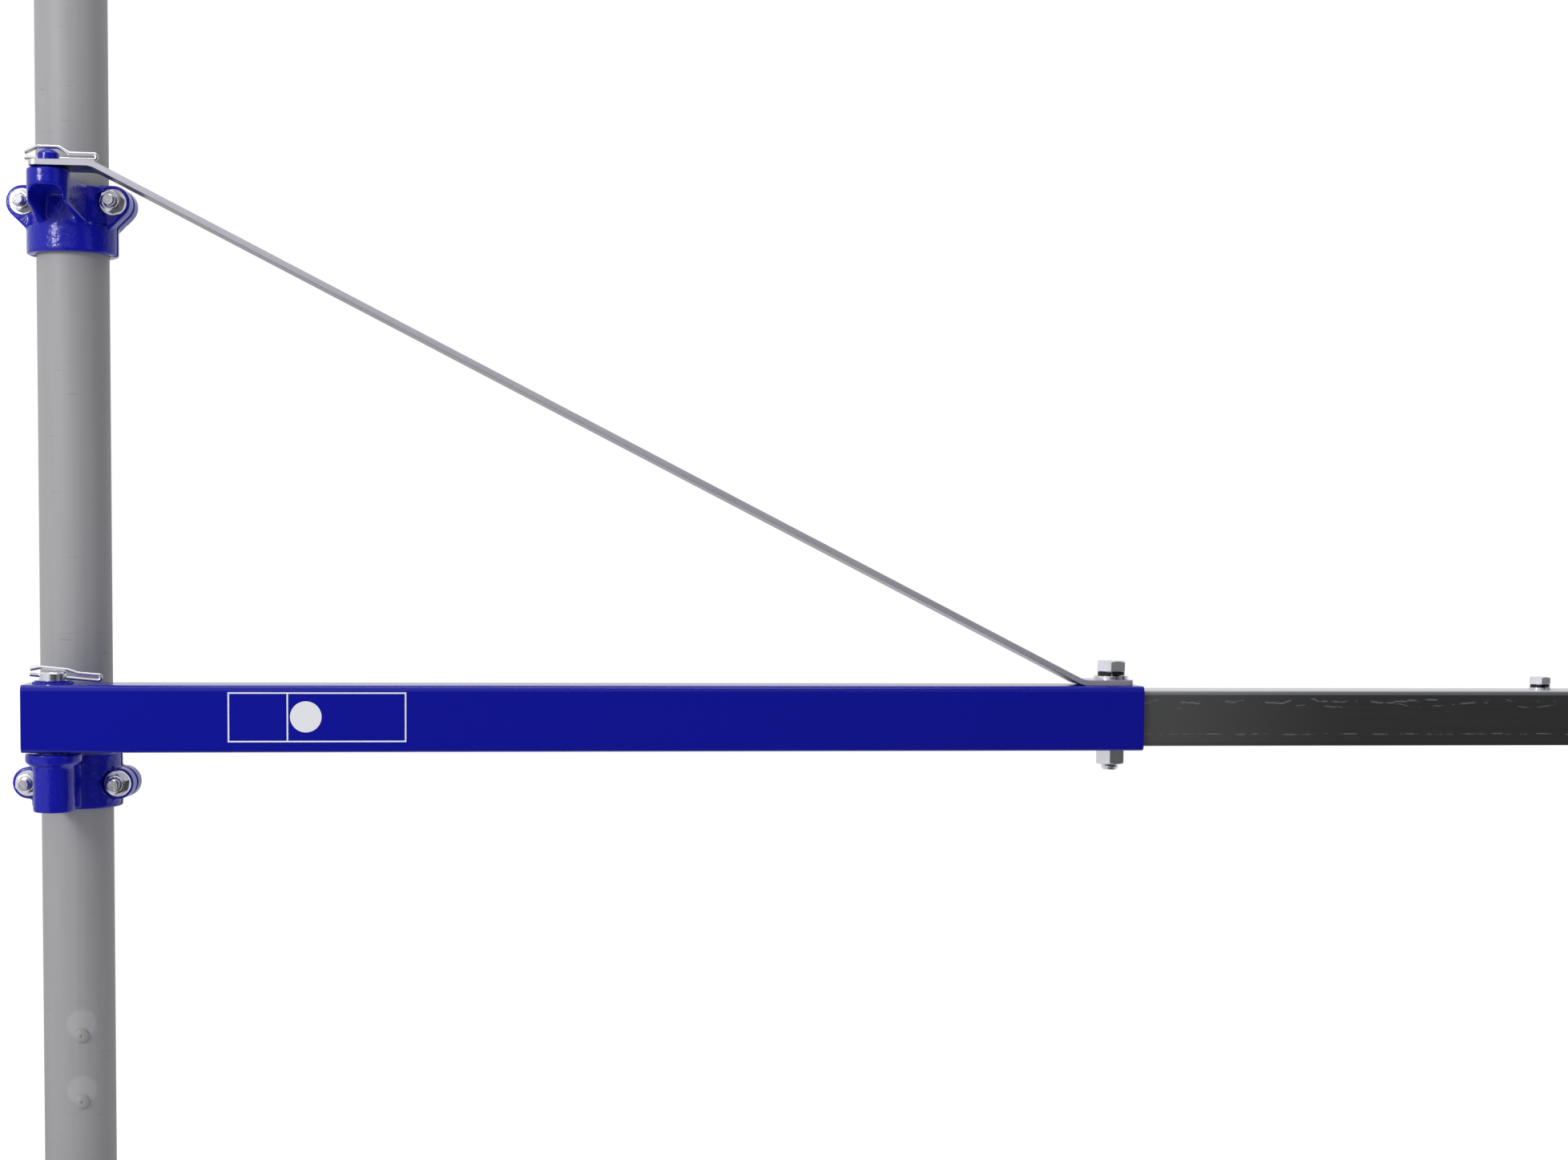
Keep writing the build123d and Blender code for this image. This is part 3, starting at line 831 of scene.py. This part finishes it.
on_flange = add(
    hexagon,
    "GeometryNodeTransform",
    {"Geometry": chamfered.outputs["Mesh"], "Translation": given["Place"]},
).outputs["Geometry"]
flange = add(
    hexagon,
    "GeometryNodeMeshCone",
    {
        "Vertices": 64,
        "Radius Top": given["Flange top radius"],
        "Radius Bottom": given["Flange radius"],
        "Depth": given["Flange height"],
    },
).outputs["Mesh"]
joined = add(
    hexagon, "GeometryNodeMeshBoolean", {"Mesh 2": on_flange}, operation="UNION", solver="EXACT"
)
hexagon.links.new(flange, joined.inputs["Mesh 2"])
bore = add(
    hexagon,
    "GeometryNodeMeshCylinder",
    {"Vertices": 40, "Radius": given["Bore radius"], "Depth": given["Bore length"]},
).outputs["Mesh"]
sink = add(
    hexagon,
    "GeometryNodeMeshCone",
    {
        "Vertices": 40,
        "Radius Top": given["Sink mouth radius"],
        "Radius Bottom": given["Sink end radius"],
        "Depth": given["Sink depth"],
    },
).outputs["Mesh"]
sink = add(
    hexagon, "GeometryNodeTransform", {"Geometry": sink, "Translation": given["Sink place"]}
).outputs["Geometry"]
bored = add(
    hexagon,
    "GeometryNodeMeshBoolean",
    {"Mesh 1": joined.outputs["Mesh"], "Mesh 2": bore},
    operation="DIFFERENCE",
    solver="EXACT",
)
hexagon.links.new(sink, bored.inputs["Mesh 2"])
chosen = add(
    hexagon,
    "GeometryNodeSwitch",
    {"Switch": given["Bored"], "False": joined.outputs["Mesh"], "True": bored.outputs["Mesh"]},
    input_type="GEOMETRY",
).outputs["Output"]
end_shape(hexagon, given, instanced(hexagon, given, chosen))


def thread_sizes(radius, length, pitch):
    """Sizes of a bolt's threaded end.

    Its ridge is as deep as 0.6 of the pitch and ends short of the tip, which tapers to 0.74.
    """
    depth = pitch * 0.6
    core = radius - depth
    wound = length - pitch * 1.4
    return {
        "Core radius": core * MM,
        "Length": length * MM,
        "Core place": upright(length / 2),
        "Turns": wound / pitch,
        "Wound length": wound * MM,
        "Ridge radius": (core + depth * 0.4) * MM,
        "Ridge size": depth * 0.6 * MM,
        "Ridge place": upright(pitch / 2),
        "Radius": radius * MM,
        "Tip radius": radius * 0.74 * MM,
        "Tip length": pitch * MM,
        "Tip place": upright(length - pitch),
    }


# Threaded end of a bolt: a core, one ridge wound round it and a chamfered tip
clamp_stud_sizes = thread_sizes(
    clamp_thread_radius, clamp_nut_total + clamp_stud_end, clamp_thread_pitch
)
thread, given = new_shape("threaded_end", clamp_stud_sizes)
core = add(
    thread,
    "GeometryNodeMeshCylinder",
    {"Vertices": 40, "Radius": given["Core radius"], "Depth": given["Length"]},
).outputs["Mesh"]
core = add(
    thread, "GeometryNodeTransform", {"Geometry": core, "Translation": given["Core place"]}
).outputs["Geometry"]
helix = add(
    thread,
    "GeometryNodeCurveSpiral",
    {
        "Resolution": 32,
        "Rotations": given["Turns"],
        "Start Radius": given["Ridge radius"],
        "End Radius": given["Ridge radius"],
        "Height": given["Wound length"],
    },
).outputs["Curve"]
helix = add(
    thread, "GeometryNodeTransform", {"Geometry": helix, "Translation": given["Ridge place"]}
).outputs["Geometry"]
ridge_profile = add(
    thread, "GeometryNodeCurvePrimitiveCircle", {"Resolution": 4, "Radius": given["Ridge size"]}
).outputs["Curve"]
ridge = add(
    thread,
    "GeometryNodeCurveToMesh",
    {"Curve": helix, "Profile Curve": ridge_profile, "Fill Caps": True},
).outputs["Mesh"]
tip = add(
    thread,
    "GeometryNodeMeshCone",
    {
        "Vertices": 40,
        "Radius Top": given["Tip radius"],
        "Radius Bottom": given["Radius"],
        "Depth": given["Tip length"],
    },
).outputs["Mesh"]
tip = add(
    thread, "GeometryNodeTransform", {"Geometry": tip, "Translation": given["Tip place"]}
).outputs["Geometry"]
threaded = add(thread, "GeometryNodeJoinGeometry", {"Geometry": core})
thread.links.new(ridge, threaded.inputs["Geometry"])
thread.links.new(tip, threaded.inputs["Geometry"])
end_shape(thread, given, instanced(thread, given, threaded.outputs["Geometry"]))

# Wire bent along a path, for the spring clips
wire_sizes = {"Wire radius": clip_wire * MM, "Steps in a bend": clip_bend_steps}
wire, given = new_shape("bent_wire", wire_sizes)
line = add(wire, "GeometryNodeMeshToCurve", {"Mesh": given["Geometry"]}).outputs["Curve"]
bend = add(
    wire, "GeometryNodeInputNamedAttribute", {"Name": "bend"}, data_type="FLOAT"
).outputs["Attribute"]
rounded = add(
    wire,
    "GeometryNodeFilletCurve",
    {"Curve": line, "Radius": bend, "Count": given["Steps in a bend"], "Limit Radius": True},
    mode="POLY",
).outputs["Curve"]
round_profile = add(
    wire, "GeometryNodeCurvePrimitiveCircle", {"Resolution": 20, "Radius": given["Wire radius"]}
).outputs["Curve"]
bent = add(
    wire,
    "GeometryNodeCurveToMesh",
    {"Curve": rounded, "Profile Curve": round_profile, "Fill Caps": True},
).outputs["Mesh"]
end_shape(wire, given, bent)


def coil_sizes(inner_radius, outer_radius, thickness, rise, turned):
    """Sizes of a spring washer: a square bar wound once, its ends sprung apart by the rise."""
    return {
        "Middle radius": (inner_radius + outer_radius) / 2 * MM,
        "Bar width": (outer_radius - inner_radius) * MM,
        "Thickness": thickness * MM,
        "Rise": rise * MM,
        "Seat": upright(thickness / 2),
        "Turned": (0.0, 0.0, math.radians(turned)),
    }


# Spring washer, at first of the sizes that an M12 one has
coil, given = new_shape("spring_washer", coil_sizes(6.3, 9.4, 2.6, 0.6, 0.0))
once = add(
    coil,
    "GeometryNodeCurveSpiral",
    {
        "Resolution": 72,
        "Rotations": spring_turns,
        "Start Radius": given["Middle radius"],
        "End Radius": given["Middle radius"],
        "Height": given["Rise"],
    },
).outputs["Curve"]
bar_section = add(
    coil,
    "GeometryNodeCurvePrimitiveQuadrilateral",
    {"Width": given["Bar width"], "Height": given["Thickness"]},
).outputs["Curve"]
wound = add(
    coil,
    "GeometryNodeCurveToMesh",
    {"Curve": once, "Profile Curve": bar_section, "Fill Caps": True},
).outputs["Mesh"]
seated = add(
    coil,
    "GeometryNodeTransform",
    {"Geometry": wound, "Translation": given["Seat"], "Rotation": given["Turned"]},
).outputs["Geometry"]
end_shape(coil, given, instanced(coil, given, seated))

# Domed head of a blind rivet, with the pit that its pin leaves
rivet_sizes = {
    "Radius": rivet_radius * MM,
    "Flattened": (1.0, 1.0, rivet_height / rivet_radius),
    "Pit radius": rivet_pit * MM,
    "Pit place": upright(rivet_height + rivet_pit * rivet_pit_rise),
}
dome, given = new_shape("rivet_head", rivet_sizes)
ball = add(
    dome, "GeometryNodeMeshUVSphere", {"Segments": 40, "Rings": 20, "Radius": given["Radius"]}
).outputs["Mesh"]
low_dome = add(
    dome, "GeometryNodeTransform", {"Geometry": ball, "Scale": given["Flattened"]}
).outputs["Geometry"]
pit = add(
    dome, "GeometryNodeMeshUVSphere", {"Segments": 24, "Rings": 12, "Radius": given["Pit radius"]}
).outputs["Mesh"]
pit = add(
    dome, "GeometryNodeTransform", {"Geometry": pit, "Translation": given["Pit place"]}
).outputs["Geometry"]
pitted = add(
    dome,
    "GeometryNodeMeshBoolean",
    {"Mesh 1": low_dome, "Mesh 2": pit},
    operation="DIFFERENCE",
    solver="EXACT",
).outputs["Mesh"]
end_shape(dome, given, instanced(dome, given, pitted))

# Weld bead: overlapping drops round a circle, each a little different
bush_low, bush_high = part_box("pivot_bush")
weld_sizes = {
    "Ring radius": (bush_high.y - bush_low.y) / 2 + weld_off_bush * MM,
    "Bead radius": weld_radius * MM,
    "Drops": weld_drops,
}
bead, given = new_shape("weld_bead", weld_sizes)
ring = add(
    bead, "GeometryNodeMeshCircle", {"Vertices": given["Drops"], "Radius": given["Ring radius"]}
).outputs["Mesh"]
drop = add(
    bead, "GeometryNodeMeshIcoSphere", {"Radius": given["Bead radius"], "Subdivisions": 2}
).outputs["Mesh"]
uneven = add(
    bead, "FunctionNodeRandomValue", {2: 0.85, 3: 1.12, "Seed": 7}, data_type="FLOAT"
).outputs[1]
drops = add(
    bead, "GeometryNodeInstanceOnPoints", {"Points": ring, "Instance": drop, "Scale": uneven}
).outputs["Instances"]
end_shape(bead, given, instanced(bead, given, drops))


def middle_of(node):
    """The middle of a frame node's box."""
    low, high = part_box(node)
    return (low + high) / 2


def fasteners(name, tree, seats, direction, sizes, body, nodes=()):
    """Zinc plated heads, nuts or threaded ends on their seats."""
    host = marked_points(seats, direction)
    shaped(name, tree, host, sizes, bolt_zinc, body, nodes)


# Clamp nuts, bolt ends and heads, four of each
clamp_names = [
    f"{level}_clamp_%s_{side}" for level in ("upper", "lower") for side in ("left", "right")
]
nut_seats = [middle_of(name % "nut") - forward * clamp_nut_total / 2 * MM for name in clamp_names]
head_seats = [seat - forward * 2 * clamp_ear_depth * MM for seat in nut_seats]
clamp_nuts = [name % "nut" for name in clamp_names]
clamp_bolts = [name % "bolt" for name in clamp_names]
clamp_head_sizes = hexagon_sizes(
    clamp_flats, clamp_head_height, clamp_flats * seat_share, seat_height, clamp_head_turn
)
fasteners("clamp_nuts", hexagon, nut_seats, forward, clamp_nut_sizes, "post", clamp_nuts)
fasteners("clamp_studs", thread, nut_seats, forward, clamp_stud_sizes, "post")
fasteners("clamp_bolt_heads", hexagon, head_seats, -forward, clamp_head_sizes, "post", clamp_bolts)


def arm_bolt(bolt_node, nut_node, names, flats, head_height, nut_height, radius, pitch):
    """A bolt down through the arm: head, nut and thread, with low round seats under the flats."""
    low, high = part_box(bolt_node)
    axis = Vector(((low.x + high.x) / 2, pivot.y, 0))
    head_seat = axis + up * (high.z - head_height * MM)
    nut_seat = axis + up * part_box(nut_node)[1].z
    seat_radius = flats * seat_share
    head_sizes = hexagon_sizes(
        flats, head_height - seat_height, seat_radius, seat_height, hex_corner
    )
    nut_sizes = hexagon_sizes(
        flats, nut_height - seat_height, seat_radius, seat_height, -hex_corner, radius
    )
    end_sizes = thread_sizes(radius, (head_seat.z - low.z) / MM, pitch)
    fasteners(names[0], hexagon, [head_seat], up, head_sizes, "arm", [bolt_node])
    fasteners(names[1], hexagon, [nut_seat], -up, nut_sizes, "arm", [nut_node])
    fasteners(names[2], thread, [head_seat], -up, end_sizes, "arm")


# Bolt and nut at the strut's foot, and the stop screw with its inner nut
arm_bolt(
    "strut_bolt", "strut_nut", ("strut_bolt_head", "strut_nut_piece", "strut_bolt_thread"),
    strut_flats, strut_head_height, strut_nut_height, strut_thread_radius, strut_thread_pitch,
)
arm_bolt(
    "stop_screw", "stop_nut", ("stop_screw_head", "stop_nut_piece", "stop_screw_thread"),
    stop_flats, stop_head_height, stop_nut_height, stop_thread_radius, stop_thread_pitch,
)

# Spring washers under both heads, slit to the front
for node, hole in (
    ("strut_spring_washer", strut_thread_radius),
    ("stop_spring_washer", stop_thread_radius),
):
    low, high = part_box(node)
    depth = (high.z - low.z) / MM
    rise = depth * spring_rise
    seat = Vector(((low.x + high.x) / 2, pivot.y, low.z))
    outer = (high.y - low.y) / 2 / MM
    sizes = coil_sizes(hole + spring_room, outer, depth - rise, rise, spring_slit)
    host = marked_points([seat], up)
    shaped(node + "_piece", coil, host, sizes, dark_spring, "arm", [node])

# Rivets on the post
shaped(
    "rivet_heads",
    dome,
    marked_points(rivet_seats, rivet_face),
    rivet_sizes,
    rivet_paint,
    "post",
    ["post_rivets"],
)

# Weld that holds the bush in the arm tube
tube_low, tube_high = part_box("arm_tube")
shaped(
    "bush_weld",
    bead,
    marked_points([Vector((pivot.x, pivot.y, tube_high.z))], up),
    weld_sizes,
    tube_enamel,
    "arm",
    smooth=round_smooth,
)

# Spring clips: a straight leg through the pin, a loop at its end, and a sprung leg back over it.
# Each has its pin's radius, the depth of the pin's hole under its top, and its slope in degrees
for node, pin_node, pin_radius, hole_depth, slope in (
    ("upper_clip", "upper_pivot_pin", 7.0, 6.2, 0.0),
    ("lower_clip", "lower_pivot_pin", 9.0, 3.0, 5.0),
):
    lean = math.radians(slope)
    pin_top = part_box(pin_node)[1].z / MM
    hole_height = pin_top - hole_depth
    over = pin_top - hole_height + clip_wire + clip_room + pin_radius * math.sin(lean)
    outline = [
        (-clip_tip, 0.0, 0.0),
        (clip_reach, 0.0, clip_loop_radius),
        (clip_reach, clip_loop_width, clip_loop_radius),
        (pin_radius + clip_flare, clip_loop_width, clip_bend),
        (pin_radius, over, clip_bend),
        (-pin_radius, over, clip_bend),
        (-clip_tip, clip_loop_width, 0.0),
    ]
    path = [
        Vector((
            pivot.x + (x * math.cos(lean) + z * math.sin(lean)) * MM,
            pivot.y,
            (hole_height - x * math.sin(lean) + z * math.cos(lean)) * MM,
        ))
        for x, z, _ in outline
    ]
    shaped(
        node + "_piece",
        wire,
        marked_path(path, [r * MM for _, _, r in outline]),
        wire_sizes,
        bright_wire,
        "post",
        [node],
        smooth=round_smooth,
    )

# Printed frame on the arm's front: an outline, one divider and a plain disc
frame_left = 116.5
frame_right = 234.1
frame_bottom = -15.4
frame_top = 18.0
divider = 155.6
disc_at = 167.7
disc_height = 1.6
disc_radius = 10.4
ink_line = 1.0
ink_depth = 0.04
print_front = tube_low.y - ink_depth * MM


def ink_bar(skin, x0, x1, z0, z1):
    """A thin bar of ink on the arm's front face."""
    bar = bmesh.ops.create_cube(skin, size=1.0)
    size = Matrix.Diagonal(((x1 - x0) * MM, ink_depth * MM, (z1 - z0) * MM, 1.0))
    place = Matrix.Translation(
        (
            pivot.x + (x0 + x1) / 2 * MM,
            print_front + ink_depth / 2 * MM,
            pivot.z + (z0 + z1) / 2 * MM,
        )
    )
    bmesh.ops.transform(skin, matrix=place @ size, verts=bar["verts"])


ink = bmesh.new()
frame_sill = frame_bottom + ink_line
frame_head = frame_top - ink_line
for bar in (
    (frame_left, frame_right, frame_bottom, frame_sill),
    (frame_left, frame_right, frame_head, frame_top),
    (frame_left, frame_left + ink_line, frame_sill, frame_head),
    (frame_right - ink_line, frame_right, frame_sill, frame_head),
    (divider - ink_line / 2, divider + ink_line / 2, frame_sill, frame_head),
):
    ink_bar(ink, *bar)
disc_place = Matrix.Translation(
    (pivot.x + disc_at * MM, print_front + ink_depth / 2 * MM, pivot.z + disc_height * MM)
) @ Matrix.Rotation(math.radians(90), 4, "X")
bmesh.ops.create_cone(
    ink,
    cap_ends=True,
    segments=72,
    radius1=disc_radius * MM,
    radius2=disc_radius * MM,
    depth=ink_depth * MM,
    matrix=disc_place,
)
ink_mesh = bpy.data.meshes.new("printed_frame")
ink.to_mesh(ink_mesh)
ink.free()
settle(linked("printed_frame", ink_mesh), "arm", [], white_ink)


# Floor: pale, lit white for the camera and for reflections, and it still takes the object's shadow
floor_half = 9.0
floor_drop = 0.0005
floor_white = 1.24
floor_white_share = 0.72
floor_corners = ((-1, -1), (1, -1), (1, 1), (-1, 1))
floor_mesh = bpy.data.meshes.new("floor")
floor_mesh.from_pydata(
    [(x * floor_half, y * floor_half, -floor_drop) for x, y in floor_corners], [], [(0, 1, 2, 3)]
)
floor = linked("floor", floor_mesh)
floor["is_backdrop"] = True
floor_paint = bpy.data.materials.new("studio_floor")
tree = bare_tree(floor_paint)
rays = add(tree, "ShaderNodeLightPath").outputs
matt = add(tree, "ShaderNodeBsdfDiffuse", {"Color": (0.85, 0.85, 0.85, 1.0)}).outputs["BSDF"]
place = add(tree, "ShaderNodeTexCoord").outputs["Object"]
axes = add(tree, "ShaderNodeSeparateXYZ", {"Vector": place}).outputs
side, depth = axes["X"], axes["Y"]
# a mirror shows the floor pale behind the object and at its left, and dark in front
pale_behind = add(
    tree,
    "ShaderNodeMapRange",
    {"Value": depth, "From Min": -0.2, "From Max": 0.8, "To Min": 0.06, "To Max": 0.7},
).outputs["Result"]
bearing = add(tree, "ShaderNodeMath", {0: side, 1: depth}, operation="DIVIDE").outputs["Value"]
pale_left = add(
    tree,
    "ShaderNodeMapRange",
    {"Value": bearing, "From Min": 0.28, "From Max": 0.37, "To Min": 0.0, "To Max": 0.8},
).outputs["Result"]
mirrored = add(
    tree, "ShaderNodeMath", {0: pale_behind, 1: pale_left}, operation="MAXIMUM"
).outputs["Value"]
strength = add(
    tree,
    "ShaderNodeMix",
    {"Factor": rays["Is Camera Ray"], 2: mirrored, 3: floor_white},
    data_type="FLOAT",
).outputs[0]
white = add(
    tree, "ShaderNodeEmission", {"Color": (1.0, 1.0, 1.0, 1.0), "Strength": strength}
).outputs["Emission"]
in_mirrors = add(
    tree,
    "ShaderNodeMath",
    {0: rays["Is Glossy Ray"], 1: rays["Is Transmission Ray"]},
    operation="MAXIMUM",
).outputs["Value"]
share = add(
    tree,
    "ShaderNodeMix",
    {"Factor": rays["Is Camera Ray"], 2: in_mirrors, 3: floor_white_share},
    data_type="FLOAT",
).outputs[0]
both = add(tree, "ShaderNodeMixShader", {0: share, 1: matt, 2: white}).outputs["Shader"]
add(tree, "ShaderNodeOutputMaterial", {"Surface": both})
floor_mesh.materials.append(floor_paint)

# Surroundings: white to the camera. Reflections show a white back, a pale wall at the left and the
# upper left in front, a small grey one at the right, and a dark room below, so that enamel stays
# deep and zinc gets its contrast. What they light is brighter from the left than from the right
world = bpy.data.worlds.new("studio")
bpy.context.scene.world = world
tree = bare_tree(world)
rays = add(tree, "ShaderNodeLightPath").outputs
way = add(tree, "ShaderNodeTexCoord").outputs["Generated"]
way = add(tree, "ShaderNodeSeparateXYZ", {"Vector": way}).outputs
# each stretch has the axis it runs along, where it begins and ends, and its brightness at both
levels = {}
for name, axis, begin, end, first, last in (
    ("behind", "Y", -0.1, 0.6, 0.04, 0.85),
    ("left wall", "X", -0.24, -0.36, 0.0, 0.78),
    ("above", "Z", 0.0, 0.11, 0.0, 0.85),
    ("leftish", "X", 0.45, -0.1, 0.0, 1.0),
    ("far right", "X", 0.55, 0.7, 0.0, 0.45),
    ("in front", "Y", -0.35, -0.5, 0.0, 1.0),
    ("over bench", "Z", -0.08, -0.05, 0.0, 1.0),
    ("light", "X", -0.8, 0.8, 0.62, 0.28),
):
    levels[name] = add(
        tree,
        "ShaderNodeMapRange",
        {"Value": way[axis], "From Min": begin, "From Max": end, "To Min": first, "To Max": last},
    ).outputs["Result"]
# and what they come to together
for name, one, other, operation in (
    ("above left", "above", "leftish", "MULTIPLY"),
    ("right front", "far right", "in front", "MULTIPLY"),
    ("right wall", "right front", "over bench", "MULTIPLY"),
    ("two walls", "left wall", "above left", "MAXIMUM"),
    ("all walls", "two walls", "right wall", "MAXIMUM"),
    ("reflected", "behind", "all walls", "MAXIMUM"),
):
    levels[name] = add(
        tree, "ShaderNodeMath", {0: levels[one], 1: levels[other]}, operation=operation
    ).outputs["Value"]
seen_there = add(
    tree, "ShaderNodeMath", {0: rays["Is Camera Ray"], 1: levels["reflected"]}, operation="MAXIMUM"
).outputs["Value"]
in_mirrors = add(
    tree,
    "ShaderNodeMath",
    {0: rays["Is Glossy Ray"], 1: rays["Is Transmission Ray"]},
    operation="MAXIMUM",
).outputs["Value"]
seen = add(
    tree, "ShaderNodeMath", {0: rays["Is Camera Ray"], 1: in_mirrors}, operation="MAXIMUM"
).outputs["Value"]
level = add(
    tree, "ShaderNodeMix", {"Factor": seen, 2: levels["light"], 3: seen_there}, data_type="FLOAT"
).outputs[0]
sky = add(
    tree, "ShaderNodeBackground", {"Color": (1.0, 1.0, 1.0, 1.0), "Strength": level}
).outputs["Background"]
add(tree, "ShaderNodeOutputWorld", {"Surface": sky})


def soft_light(name, place, target, size, power):
    """A large soft lamp at a place, turned to a target."""
    lamp = bpy.data.lights.new(name, "AREA")
    lamp.shape = "RECTANGLE"
    lamp.size, lamp.size_y = size
    lamp.energy = power
    holder = linked(name, lamp)
    holder.location = place
    holder.rotation_euler = (Vector(target) - Vector(place)).to_track_quat("-Z", "Y").to_euler()


soft_light("key", (-0.88, -1.12, 1.0), (0.1, 0.0, 0.5), (0.4, 0.4), 9.5)
soft_light("top", (0.3, -0.2, 2.0), (0.4, 0.0, 0.3), (1.4, 0.7), 8)

# Camera: as the photograph was taken, found from the post's, tubes' and strut's edges
photo_width = 1957.0
photo_height = 1448.0
focal_px = 2970.4
centre_px = (944.0, 870.9)
camera_at = (0.2751, -1.6892, 0.4355)
yaw, pitch, roll = (math.radians(a) for a in (-6.705, -3.212, -0.408))
lens = bpy.data.cameras.new("camera")
lens.sensor_width = 36.0
lens.lens = focal_px * lens.sensor_width / photo_width
lens.shift_x = -(centre_px[0] - photo_width / 2) / photo_width
lens.shift_y = (centre_px[1] - photo_height / 2) / photo_width
lens.clip_start = 0.05
lens.clip_end = 50.0
camera = linked("camera", lens)
looking = (
    Matrix.Rotation(yaw, 3, "Z") @ Matrix.Rotation(pitch, 3, "X") @ Matrix.Rotation(roll, 3, "Y")
)
right, ahead, above = looking.col
camera.matrix_world = Matrix.Translation(camera_at) @ Matrix(
    (right, above, -ahead)
).transposed().to_4x4()
bpy.context.scene.camera = camera
bpy.context.scene.view_settings.view_transform = "Standard"

# The imported box and the dressed one
dressed_low, dressed_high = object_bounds()
sizes = {
    "cad": [list(cad_low), list(cad_high)],
    "visual": [list(dressed_low), list(dressed_high)],
}
